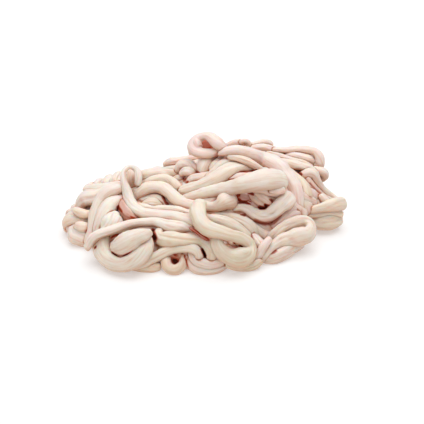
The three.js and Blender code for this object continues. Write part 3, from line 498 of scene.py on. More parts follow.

# Pools that show in the deep gaps, partly blood and partly painted shade: where they are strong, in holes,
# slits and creases, their dark middles are painted shade, and the weak diagonal_side, left_dim and
# ring_shade are painted shade on shaded sides. How dark, over what width, and their route on the sight plane
BLOOD_AND_SHADE_POOLS = {
    "dome_gap": (0.45, 4, [(-65, 20), (-61, 13), (-59, 10)]),
    "arch_gap": (0.2, 12, [(-119, 11), (-116, 3), (-108, -3), (-101, -9)]),
    "arch_gap_top": (0.75, 6, [(-123, 6), (-118, 3)]),
    "arch_gap_end": (0.85, 3, [(-106, -6), (-100, -10)]),
    "stain_under_band": (0.35, 7, [(-131, -35), (-125, -31)]),
    "bend_crease": (0.85, 3, [(-134, -45), (-131, -54), (-121, -60), (-110, -54), (-100, -45), (-94, -37)]),
    "left_pinhole": (1.0, 3, [(-154, -47), (-154, -46)]),
    "left_dim_fold": (0.4, 4, [(-175, -20), (-168, -25), (-162, -26)]),
    "left_hollow": (0.95, 8, [(-78, -26), (-76, -35)]),
    "snail_hole": (0.95, 9, [(-49, -60), (-48, -65)]),
    "snail_gap": (0.5, 3, [(-36, -58), (-33, -66), (-31, -73)]),
    "curl_slit": (0.95, 4, [(-13, -50), (-9, -58)]),
    "red_streak": (0.4, 5, [(-28, -21), (-6, -36)]),
    "knob_side": (0.6, 5, [(35, 21), (36, 13), (50, 12)]),
    "knob_top": (0.6, 3, [(34, 24), (44, 27), (52, 25)]),
    "knob_neck": (0.3, 6, [(-4, 17), (6, 17)]),
    "middle_spot": (0.7, 5, [(50, 26), (53, 24)]),
    "middle_depth": (0.85, 6, [(64, 6), (69, 6), (77, 14)]),
    "under_wave": (0.3, 6, [(57, -11), (70, -16), (82, -14), (90, -4)]),
    "under_wave_start": (0.4, 4, [(58, -12), (66, -15), (73, -15)]),
    "wave_start": (0.8, 4, [(39, -4), (43, -4)]),
    "loop_hole": (0.3, 4, [(18, -42), (26, -45), (34, -47)]),
    "loop_hole_spot": (0.95, 4, [(38, -45), (40, -46)]),
    "loop_hole_fold": (0.6, 3, [(28, -42), (31, -40)]),
    "right_hollow": (0.4, 5, [(77, -54), (84, -52)]),
    "twist_gap": (0.4, 4, [(52, -31), (56, -35)]),
    "upper_right_gap": (0.75, 6, [(108, 51), (116, 50)]),
    "upper_gap": (0.5, 5, [(24, 43), (38, 52), (50, 52), (62, 55)]),
    "upper_gap_end": (0.85, 4, [(46, 51), (50, 52), (64, 56)]),
    "hook_gap": (0.65, 4, [(-36, 44), (-33, 40)]),
    "hook_spot": (0.8, 4, [(-19, 53), (-17, 50)]),
    "ring_pit": (0.35, 12, [(-10, 93), (-6, 89)]),
    "ring_spot": (0.85, 5, [(-7, 90), (-6, 88)]),
    "ring_shade": (0.22, 6, [(4, 74), (12, 72), (20, 72)]),
    "spar_groove": (0.3, 4, [(130, 38), (143, 26), (155, 17)]),
    # Painted shade on the shaded sides of the diagonal and of the left end
    "diagonal_side": (0.16, 9, [(104, 51), (111, 38), (115, 25), (116, 12)]),
    "left_dim": (0.14, 9, [(-177, 5), (-168, -1), (-160, 2)]),
    "tall_loop_hole": (0.2, 6, [(-108, 52), (-106, 44)]),
}


# Sight lines and smooth curves

def make_sight(azimuth, climb):
    """An eye that looks at the heap: its place, and its right, up and away directions."""
    turn = math.radians(azimuth)
    rise = math.radians(climb)
    away = np.array([math.sin(turn) * math.cos(rise), -math.cos(turn) * math.cos(rise), math.sin(rise)])
    right = np.array([math.cos(turn), math.sin(turn), 0.0])
    up = np.cross(away, right)
    target = right * LOOK_RIGHT + up * LOOK_UP
    return {"away": away, "right": right, "up": up, "target": target, "eye": target + away * EYE_DISTANCE}


FRONT = make_sight(0, EYE_CLIMB)


def smooth_curve(points, divisions):
    """The centripetal Catmull-Rom curve through some points."""
    points = np.array(points, float)
    before = np.vstack([2 * points[0] - points[1], points[:-1]])
    after = np.vstack([points[1:], 2 * points[-1] - points[-2]])
    fine = []
    for past, here, there, future in zip(before, points, points[1:], after[1:]):
        gap_in, gap, gap_out = (max(np.linalg.norm(run) ** 0.5, 1e-4)
                                for run in (here - past, there - here, future - there))
        straight = (there - here) / gap
        leave = ((here - past) / gap_in - (there - past) / (gap_in + gap) + straight) * gap
        arrive = (straight - (future - here) / (gap + gap_out) + (future - there) / gap_out) * gap
        t = np.arange(divisions)[:, None] / divisions
        fine.append(here + leave * t + (3 * (there - here) - 2 * leave - arrive) * t ** 2
                    + (2 * (here - there) + leave + arrive) * t ** 3)
    fine.append(points[-1:])
    return np.vstack(fine)


def space_evenly(fine, step, dimensions):
    """Points at an even step along a fine line, measured in its first few dimensions."""
    run = np.concatenate([[0], np.cumsum(np.linalg.norm(np.diff(fine[:, :dimensions], axis=0), axis=1))])
    count = max(2, int(math.floor(run[-1] / step + 0.5)))
    at = np.linspace(0, run[-1], count + 1)
    return np.stack([np.interp(at, run, fine[:, k]) for k in range(fine.shape[1])], axis=1)


# Laying strands on the heap

def cross_lobes(eye, line, margin=0):
    """The terms of where a sight line enters each lobe, grown by a margin: (-b - sqrt(inside)) / a. It
    misses a lobe where inside isn't above 0."""
    size = LOBES[:, 2:] + margin
    start = (eye - LOBE_MIDDLES) / size
    along = line / size
    a = np.sum(along * along, axis=1)
    b = np.sum(start * along, axis=1)
    return a, b, b * b - a * (np.sum(start * start, axis=1) - 1)


def reach_core(eye, line, margin):
    """How far along a sight line the core begins, or is nearest, when every lobe is grown by a margin."""
    a, b, inside = cross_lobes(eye, line, margin)
    hit = inside > 0
    if np.any(hit):
        return np.min((-b[hit] - np.sqrt(inside[hit])) / a[hit])
    return (-b / a)[np.argmax(inside / a)]


def meets_core(eye, line, far):
    """Whether a sight line meets the core before it has gone this far."""
    a, b, inside = cross_lobes(eye, line)
    return bool(np.any((inside > 0) & ((-b - np.sqrt(np.maximum(inside, 0))) / a < far)))


def reach_heap(eye, line, radius, lift, laid):
    """How far along a sight line a strand of this radius meets the floor, the core or a laid strand."""
    reach = reach_core(eye, line, lift * radius)
    if line[2] < 0:
        reach = min(reach, (FLOOR_REST * radius - eye[2]) / line[2])
    if len(laid):
        to = laid[:, :3] - eye
        along = to @ line
        clear = ((laid[:, 3] + radius) * PRESS) ** 2 - (np.sum(to * to, axis=1) - along ** 2)
        met = clear > 0
        if np.any(met):
            reach = min(reach, np.min(along[met] - np.sqrt(clear[met])))
    return reach


def drape(depths):
    """Depths of a strand that bridges dips instead of following each one."""
    steps = np.arange(len(depths)) * LAY_STEP
    bridged = np.min(depths[None, :] + (steps[:, None] - steps[None, :]) ** 2 / (2 * DRAPE_RADIUS), axis=1)
    for _ in range(SMOOTHINGS):
        bridged[1:-1] = (bridged[:-2] + 2 * bridged[1:-1] + bridged[2:]) / 4
    return bridged


def lay_strand(route, sight, laid, lift=LAID_LIFT, tuck=DRAWN_TUCK):
    """A route let down onto the heap, as the centres and radii of one strand."""
    drawn = space_evenly(smooth_curve(route, CURVE_DIVISIONS), LAY_STEP, 2)
    eye = sight["eye"]
    lines = sight["target"] + drawn[:, :1] * sight["right"] + drawn[:, 1:2] * sight["up"] - eye
    lines /= np.linalg.norm(lines, axis=1)[:, None]
    half = drawn[:, 2] / 2
    reaches = np.array([reach_core(eye, line, lift * h) for line, h in zip(lines, half)])
    radii = half * reaches / EYE_DISTANCE

    def drape_over(own):
        met = [reach_heap(eye, line, radius, lift, np.vstack([laid, own[:max(0, i - OWN_GAP // LAY_STEP)]]))
               for i, (line, radius) in enumerate(zip(lines, radii))]
        return drape(np.array(met))

    alone = np.column_stack([eye + lines * drape_over(np.zeros((0, 4)))[:, None], radii])
    depths = drape_over(alone)
    run = np.minimum(np.arange(len(lines)), np.arange(len(lines))[::-1]) * LAY_STEP
    depths = depths + tuck * radii * np.maximum(0, 1 - run / TUCK_LENGTH) ** 2
    centres = eye + lines * depths[:, None]
    centres[:, 2] = np.maximum(centres[:, 2], FLOOR_REST * radii)
    return np.column_stack([centres, radii])


def make_draw(seed):
    """A repeatable draw between two numbers."""
    state = seed

    def draw(low, high):
        nonlocal state
        state = (state * DRAW_FACTOR + DRAW_SHIFT) % DRAW_RANGE
        return low + (high - low) * state / DRAW_RANGE

    return draw


def lay_row(draw, level, whole):
    """A row round the core, half sunk in it: level 0 is at its foot. Whole rows go all the way round."""
    width = draw(*ROW_WIDTH)
    ripple = draw(*ROW_RIPPLE)
    beats = draw(*ROW_RIPPLE_BEATS)
    phase = draw(0, 2 * math.pi)
    start = math.radians(ROW_FROM + draw(-ROW_END_SPREAD, ROW_END_SPREAD))
    end = math.radians(ROW_TO + draw(-ROW_END_SPREAD, ROW_END_SPREAD))
    if whole:
        start, end = end - 2 * math.pi, end + WHOLE_ROW_OVERLAP
    height = ROW_TOP * math.sin((level + 0.5) * ROW_RISE)
    share = FOOT_WAVE if level == 0 else 1
    row = []
    for angle in np.linspace(start, end, WHOLE_ROW_POINTS if whole else ROW_POINTS):
        radius = width * (1 + ROW_SWELL * math.sin(ROW_SWELL_PACE * beats * angle)) / 2
        outward = np.array([math.sin(angle), -math.cos(angle), 0.0])
        swing = ROW_SWING * math.sin(ROW_SWING_BEATS * angle - ROW_SWING_LAG * level)
        wave = swing + ripple * math.sin(beats * angle + phase)
        lift = SUNK_LIFT + share * ROW_BULGE * math.sin(ROW_BULGE_PACE * beats * angle - phase)
        if whole:
            behind = (0.5 - 0.5 * math.cos(angle)) ** FRONT_SINK_POWER
            lift = FRONT_SUNK_LIFT + (lift - FRONT_SUNK_LIFT) * behind
        eye = np.array([*ROW_AXIS, 0.0]) + outward * EYE_DISTANCE
        eye[2] = max(height + share * wave, FLOOR_REST * radius)
        reach = reach_core(eye, -outward, lift * radius)
        row.append([*(eye - outward * reach), radius])
    return space_evenly(np.array(row), LAY_STEP, 3)


def thrown_loop(draw, group):
    """A loop thrown over the rows: easy arcs between tight turns, which bend back towards the middle."""
    middle, half = group["middle"], group["half"]
    x = draw(-THROWN_START, THROWN_START) * half[0] + middle[0]
    y = draw(-THROWN_START, THROWN_START) * half[1] + middle[1]
    heading = draw(-THROWN_LEAN, THROWN_LEAN) + (math.pi if draw(0, 1) < 0.5 else 0)
    width = draw(*THROWN_WIDTH)
    route = [(x, y, width)]

    def follow(radius, length, side):
        nonlocal x, y, heading
        steps = math.ceil(length / HIDDEN_SPACING)
        for _ in range(steps):
            heading += side * length / radius / steps
            x += math.cos(heading) * length / steps
            y += math.sin(heading) * length / steps
            route.append((x, y, width * draw(*WIDTH_SPREAD)))

    for _ in range(int(math.floor(draw(*THROWN_TURNS) + 0.5)) + 1):
        follow(draw(*EASY_RADIUS), draw(*EASY_RUN), 1 if draw(0, 1) < 0.5 else -1)
        home = math.atan2(middle[1] - y, middle[0] - x)
        homeward = 1 if math.sin(home - heading) > 0 else -1
        radius = draw(*TURN_RADIUS)
        follow(radius, radius * math.radians(draw(*TURN_SWEEP)), homeward)
    return [p for p in route
            if math.hypot((p[0] - middle[0]) / half[0], (p[1] - middle[1]) / half[1]) < THROWN_EDGE]


def kept_stretches(strand, stays, shortest):
    """The stretches of a strand whose points all stay, where they are longer than the shortest."""
    stretches = [[]]
    for point in strand:
        if stays(point):
            stretches[-1].append(point)
        elif stretches[-1]:
            stretches.append([])
    return [np.array(stretch) for stretch in stretches if len(stretch) * LAY_STEP > shortest]


def hidden_stretches(strand, drawn):
    """The stretches of a strand that the drawn side hides from the front eye."""
    eye = FRONT["eye"]
    to = drawn[:, :3] - eye

    def covered(point, side):
        edge = point[:3] + (FRONT["up"] + side * FRONT["right"]) * HIDDEN_EDGE * point[3] - eye
        far = np.linalg.norm(edge)
        line = edge / far
        along = to @ line
        near = (along < far) & (np.sum(to * to, axis=1) - along ** 2 < (drawn[:, 3] + GAP_ALLOWED) ** 2)
        return np.any(near) or meets_core(eye, line, far)

    def hidden(point):
        return all(covered(point, side) for side in HIDDEN_SIDES)

    return kept_stretches(strand, hidden, SHORTEST_HIDDEN)


def lay_inner_loops():
    """Wavy strands side by side over the core, seen from above and sunk in it."""
    sight = make_sight(0, INNER_CLIMB)
    eye = sight["eye"]
    draw = make_draw(HIDDEN_SEED)
    laid = []

    def over_core(point):
        far = np.linalg.norm(point[:3] - eye)
        return meets_core(eye, (point[:3] - eye) / far, 2 * far)

    for up in np.arange(INNER_FROM, INNER_TO, INNER_SPACING):
        width = draw(*INNER_WIDTH)
        phase = draw(0, 2 * math.pi)
        route = []
        for right in range(-INNER_HALF_LENGTH, INNER_HALF_LENGTH + 1, HIDDEN_SPACING):
            swing = INNER_SWING * math.sin(INNER_BEATS * right + INNER_LAG * up)
            ripple = INNER_RIPPLE * math.sin(2 * INNER_BEATS * right + phase)
            route.append((right, up + swing + ripple, width * draw(*WIDTH_SPREAD)))
        strand = lay_strand(route, sight, np.zeros((0, 4)), lift=INNER_LIFT, tuck=0)
        laid += kept_stretches(strand, over_core, SHORTEST_INNER)
    return laid


@functools.lru_cache(maxsize=None)
def laid_heap():
    """All strands of the heap by region: the drawn ones, then those of the hidden sides."""
    laid = np.zeros((0, 4))
    heap = {}
    for name, region, _ in DRAWN_REGIONS:
        heap[name] = []
        for route in region.values():
            strand = lay_strand(route, FRONT, laid)
            laid = np.vstack([laid, strand])
            heap[name].append(strand)
    drawn = laid.copy()
    draw = make_draw(HIDDEN_SEED)
    rows = [lay_row(draw, level, whole=False) for level in range(ROW_COUNT)]
    laid = np.vstack([laid, *rows])
    heap["thrown_loops"] = []
    for group in THROWN_GROUPS:
        sight = make_sight(group["azimuth"], group["climb"])
        for _ in range(group["loops"]):
            whole = lay_strand(thrown_loop(draw, group), sight, laid, tuck=HIDDEN_TUCK)
            for stretch in hidden_stretches(whole, drawn):
                laid = np.vstack([laid, stretch])
                heap["thrown_loops"].append(stretch)
    heap["inner_loops"] = lay_inner_loops()
    row_draw = make_draw(HIDDEN_SEED)
    heap["rows_round_core"] = [lay_row(row_draw, level, whole=True)
                               for level in range(ROW_COUNT + UPPER_ROW_COUNT)]
    return heap


# The tubes of gut

def unit(vectors):
    """A vector, or each row of vectors, brought to length 1."""
    return vectors / (np.linalg.norm(vectors, axis=-1, keepdims=True) + TINY)


def outward_of_core(points):
    """The way out of the core at each point, where its lobes blend into each other."""
    out = np.zeros_like(points)
    for middle, half in zip(LOBE_MIDDLES, LOBES[:, 2:]):
        scaled = (points - middle) / half
        out += unit(scaled / half) * np.exp(-LOBE_BLEND * (np.linalg.norm(scaled, axis=1) - 1))[:, None]
    return unit(out)


def ring_frames(centres):
    """The out and side directions at each point of a strand, turning as little as they can."""
    along = unit(np.gradient(centres, axis=0))
    out = outward_of_core(centres)
    carried = np.zeros_like(out)
    carried[0] = unit(out[0] - along[0] * (out[0] @ along[0]))
    for i in range(1, len(centres)):
        carried[i] = unit(carried[i - 1] - along[i] * (carried[i - 1] @ along[i]))
    side = np.cross(along, carried)
    lean_out = np.sum(out * carried, axis=1)
    lean_side = np.sum(out * side, axis=1)
    weight = np.hypot(lean_out, lean_side)
    angle = np.unwrap(np.arctan2(lean_side, lean_out))
    angle = blur(angle * weight, FRAME_BLURS) / (blur(weight, FRAME_BLURS) + 1e-6)
    turned = carried * np.cos(angle)[:, None] + side * np.sin(angle)[:, None]
    return turned, np.cross(along, turned)


def blur(values, passes):
    """A smoothed copy of a run of values, with its ends kept level."""
    values = np.array(values, float)
    for _ in range(passes):
        padded = np.concatenate([values[:1], values, values[-1:]])
        values = (padded[:-2] + 2 * padded[1:-1] + padded[2:]) / 4
    return values


def slow_wave(rng, run, length, strength):
    """A soft random wave along a run, in millimetres: its usual wavelength and its strength."""
    wave = np.zeros_like(run)
    for octave in WAVE_OCTAVES:
        phase, turn = rng.uniform(0, 2 * math.pi, 2)
        stretch = rng.uniform(*WAVE_STRETCH)
        warp = WAVE_WARP * np.sin(run / length + turn)
        wave += np.sin(2 * math.pi * run * octave * stretch / length + phase + warp) / octave
    return strength * wave / WAVE_SUM


def reach_past_ends(strand):
    """A strand with a point added past each end, for the round ends to close on."""
    first = strand[0] + (strand[0] - strand[1]) * END_REACH * strand[0, 3] / LAY_STEP
    last = strand[-1] + (strand[-1] - strand[-2]) * END_REACH * strand[-1, 3] / LAY_STEP
    first[3], last[3] = strand[0, 3], strand[-1, 3]
    return np.vstack([first, strand, last])


def bend_into_heap(strand):
    """A strand that bends into the heap at its last end, where it would otherwise have ended."""
    radius = strand[-1, 3]
    strand = strand[:len(strand) - int(round((1 + BEND_RADIUS - END_REACH) * radius / LAY_STEP))]
    place = strand[-1, :3].copy()
    along = unit(strand[-1, :3] - strand[-2, :3])
    inward = -outward_of_core(place[None, :])[0]
    inward = unit(inward - along * (along @ inward))
    arc = BEND_RADIUS * radius * math.pi / 2 / BEND_STEPS
    tail = []
    for step in range(BEND_STEPS):
        turn = (step + 0.5) / BEND_STEPS * math.pi / 2
        place = place + arc * (math.cos(turn) * along + math.sin(turn) * inward)
        tail.append([*place, radius])
    for _ in range(TAIL_LENGTH // LAY_STEP):
        if core_depth(place) > TAIL_DEPTH * radius:
            break
        place = place - LAY_STEP * outward_of_core(place[None, :])[0]
        tail.append([*place, radius])
    tail = np.array(tail)
    tail[:, 2] = np.maximum(tail[:, 2], FLOOR_REST * radius)
    return np.vstack([strand, tail])


def core_depth(place):
    """About how deep a point lies in the core, in millimetres."""
    half = LOBES[:, 2:]
    scaled = np.linalg.norm((place - LOBE_MIDDLES) / half, axis=1)
    return np.max((1 - scaled) * half.min(axis=1))


def tube_of_gut(strand, rng, sizes):
    """The rings of one strand: points, the way out of each, and the millimetres along and round it."""
    fine = space_evenly(smooth_curve(reach_past_ends(strand), TUBE_DIVISIONS), sizes["ring_step"], 3)
    centres, radii = fine[:, :3], fine[:, 3] * sizes["fullness"]
    out, side = ring_frames(centres)
    run = np.concatenate([[0], np.cumsum(np.linalg.norm(np.diff(centres, axis=0), axis=1))])
    total = run[-1]
    angle = np.linspace(0, 2 * math.pi, sizes["sides"], endpoint=False)
    outward = np.cos(angle)
    sideways = np.sin(angle)
    radii = radii * (1 + slow_wave(rng, run, *WIDTH_WAVE) + slow_wave(rng, run, *RIPPLE_WAVE))
    flat = FLATNESS + FLATNESS_SPREAD * rng.uniform() + slow_wave(rng, run, *FLATNESS_WAVE)
    shape = 1 + flat[:, None] * (sideways ** 2 - outward ** 2)[None, :]
    lean = slow_wave(rng, run, *THREE_SIDED_WAVE)
    shape += lean[:, None] * np.cos(3 * angle + rng.uniform(0, 6))[None, :]
    for _ in range(rng.integers(*GROOVE_COUNT)):
        shape -= lengthwise_groove(rng, run, total, angle)
    spread = (radii * round_ends(run, total, radii))[:, None] * shape
    points = (centres[:, None, :] + out[:, None, :] * (spread * outward)[:, :, None]
              + side[:, None, :] * (spread * sideways)[:, :, None])
    normals = out[:, None, :] * outward[None, :, None] + side[:, None, :] * sideways[None, :, None]
    grain = np.stack([radii[:, None] * outward[None, :], radii[:, None] * sideways[None, :],
                      np.repeat(run[:, None], len(angle), axis=1)], axis=2)
    return points, normals, grain


def lengthwise_groove(rng, run, total, angle):
    """A shallow groove along the collapsed wall, on the side that faces out, which comes and goes."""
    place = rng.uniform(*GROOVE_PLACE) + slow_wave(rng, run, *GROOVE_WANDER)
    width = rng.uniform(*GROOVE_WIDTH)
    depth = rng.uniform(*GROOVE_DEPTH)
    middle = rng.uniform(*GROOVE_MIDDLE) * total
    reach = rng.uniform(*GROOVE_REACH)
    presence = np.exp(-((run - middle) / reach) ** 2)
    away = (angle[None, :] - place[:, None] + math.pi) % (2 * math.pi) - math.pi
    return depth * presence[:, None] * np.exp(-(away / width) ** 2)


def round_ends(run, total, radii):
    """How the rings close towards a strand's two ends, as a share of the radius."""
    to_end = np.minimum(run, total - run)
    share = np.clip(to_end / (END_ROUNDING * radii), 0, 1)
    return np.sqrt(np.clip(1 - (1 - share) ** 2, TIP_AREA, 1))


def closeness(points, normals, number, crowd):
    """For each point of a strand, how closely others crowd it, and how near it is to touching one: what the
    painted shade follows where strands crowd and touch.
    """
    others = crowd[crowd[:, 4] != number]
    low = points.min(axis=0) - CROWD_REACH
    high = points.max(axis=0) + CROWD_REACH
    near = others[np.all((others[:, :3] > low) & (others[:, :3] < high), axis=1)]
    radii = near[None, :, 3]
    filled = np.zeros(len(points))
    touching = np.zeros(len(points))
    for start in range(0, len(points), POINTS_AT_ONCE):
        block = slice(start, start + POINTS_AT_ONCE)
        to = near[None, :, :3] - points[block, None, :]
        far2 = np.maximum(np.sum(to * to, axis=2), 1.0)
        facing = np.maximum(np.einsum("ijk,ik->ij", to, normals[block]), 0) / np.sqrt(far2)
        window = np.clip(1 - far2 / CROWD_REACH ** 2, 0, 1)
        patch = 2 * radii * LAY_STEP * facing * window / (math.pi * np.maximum(far2, radii ** 2))
        filled[block] = patch.sum(axis=1)
        gap = np.min(np.sqrt(far2) - TOUCH_INSIDE * radii, axis=1)
        touching[block] = np.clip(1 - gap / TOUCH_REACH, 0, 1)
    return filled, touching


def pooled_blood_and_shade(points, normals, crowding):
    """How much of the pools lies at each point, blood and painted shade in the deep gaps: in the pools that
    show, where the heap is crowded.
    """
    to = points - FRONT["eye"]
    far = -(to @ FRONT["away"])
    seen = np.column_stack([to @ FRONT["right"], to @ FRONT["up"]]) * (EYE_DISTANCE / far)[:, None]
    blood = np.zeros(len(points))
    for strength, width, route in BLOOD_AND_SHADE_POOLS.values():
        line = space_evenly(np.array(route, float), 1, 2)
        apart = np.min(np.linalg.norm(seen[:, None, :] - line[None, :, :], axis=2), axis=1)
        blood = np.maximum(blood, strength * fade(1 - (apart - POOL_MIDDLE * width) / (POOL_EDGE * width)))
    crowded = fade((crowding - LEAST_CROWDING) / CROWDING_FADE)
    return blood * crowded * faces_viewer(normals, POOL_ROUND)


def faces_viewer(normals, reach):
    """Whether each wall faces the viewer's side, from 0 to 1: what is stained there is clean behind.
    The stain reaches further round a wall the larger the reach is."""
    return fade(1 + (normals @ FRONT["away"] - VIEWER_FACING + reach) / VIEWER_FADE)


def fade(share):
    """A soft step from nothing at 0 to everything at 1."""
    share = np.clip(share, 0, 1)
    return share * share * (3 - 2 * share)


def join_tubes(name, strands, tints, seed, sizes):
    """One mesh of several strands, with what the material reads at each of its points."""
    crowd = heap_crowd()
    groups = list(laid_heap())
    first = sum(len(laid_heap()[group]) for group in groups[:groups.index(name)])
    rng = np.random.default_rng(seed)
    points, faces = [], []
    values = {key: [] for key in ("grain", "tint", "ivory", "crowding", "touching", "blood")}
    count = 0
    for number, (strand, tint) in enumerate(zip(strands, tints)):
        if name == "thrown_loops":
            strand = bend_into_heap(bend_into_heap(strand)[::-1])[::-1]
        rings, normals, grain = tube_of_gut(strand, rng, sizes)
        m, n = rings.shape[:2]
        flat = rings.reshape(-1, 3)
        normals = normals.reshape(-1, 3)
        flat[:, 2] = np.maximum(flat[:, 2], TUBE_CLEARANCE)
        filled, touching = closeness(flat, normals, first + number, crowd)
        shade = np.array(tint) + rng.uniform(-TINT_SPREAD, TINT_SPREAD) * np.array(TINT_SHARES)
        ivory, *tint = np.clip(shade, 0, 1)
        tint = np.tile(tint, (m * n, 1))
        tint[:, 2] *= faces_viewer(normals, STAIN_ROUND)
        points.append(flat)
        values["grain"].append(grain.reshape(-1, 3) + GRAIN_SHIFT * number)
        values["tint"].append(tint)
        values["ivory"].append(np.full(m * n, ivory))
        values["crowding"].append(filled)
        values["touching"].append(touching)
        values["blood"].append(pooled_blood_and_shade(flat, normals, filled))
        faces.extend(ring_faces(m, n, count))
        count += m * n
    joined = {key: np.vstack(parts) if parts[0].ndim == 2 else np.concatenate(parts)
              for key, parts in values.items()}
    return make_mesh(name, np.vstack(points), faces, joined)


@functools.lru_cache(maxsize=None)
def heap_crowd():
    """Every point of every strand, with its radius and its strand's number."""
    strands = [strand for group in laid_heap().values() for strand in group]
    return np.vstack([np.column_stack([strand, np.full(len(strand), number)])
                      for number, strand in enumerate(strands)])


def ring_faces(m, n, first):
    """The faces between m rings of n points, and the two end faces."""
    i, j = np.meshgrid(np.arange(m - 1), np.arange(n), indexing="ij")
    a = first + i * n + j
    b = first + i * n + (j + 1) % n
    quads = np.stack([a, b, b + n, a + n], axis=2).reshape(-1, 4).tolist()
    quads.append([first + k for k in range(n)][::-1])
    quads.append([first + (m - 1) * n + k for k in range(n)])
    return quads


def make_mesh(name, points, faces, attributes):
    """A smooth-shaded object from points in millimetres, with its values at each point."""
    mesh = bpy.data.meshes.new(name)
    mesh.from_pydata(((points - np.array(HEAP_MIDDLE)) * METRES).tolist(), [], faces)
    for key, values in attributes.items():
        kind = "FLOAT_VECTOR" if values.ndim == 2 else "FLOAT"
        layer = mesh.attributes.new(key, kind, "POINT")
        layer.data.foreach_set("vector" if values.ndim == 2 else "value", values.astype(np.float32).ravel())
    mesh.polygons.foreach_set("use_smooth", np.ones(len(mesh.polygons), bool))
    mesh.update()
    piece = bpy.data.objects.new(name, mesh)
    bpy.context.scene.collection.objects.link(piece)
    return piece


def settle(piece, material):
    """Gives a piece its material and its place in the heap."""
    piece.data.materials.append(material)
    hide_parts(NODE)
    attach(piece, BODY)


# Materials

def from_hex(text):
    """A linear colour from an sRGB hex value."""
    parts = [int(text[k:k + 2], 16) / 255 for k in (1, 3, 5)]
    return tuple(c / 12.92 if c <= 0.04045 else ((c + 0.055) / 1.055) ** 2.4 for c in parts)


def add_node(tree, kind, settings=None, inputs=None):
    """Adds a node with its settings, and gives its inputs values or links them to outputs."""
    node = tree.nodes.new(kind)
    for key, value in (settings or {}).items():
        setattr(node, key, value)
    for key, value in (inputs or {}).items():
        if isinstance(value, bpy.types.NodeSocket):
            tree.links.new(value, node.inputs[key])
        else:
            node.inputs[key].default_value = value
    return node


def make_material(name):
    """A new material with an empty node tree."""
    material = bpy.data.materials.new(name)
    material.use_nodes = True
    material.node_tree.nodes.clear()
    return material


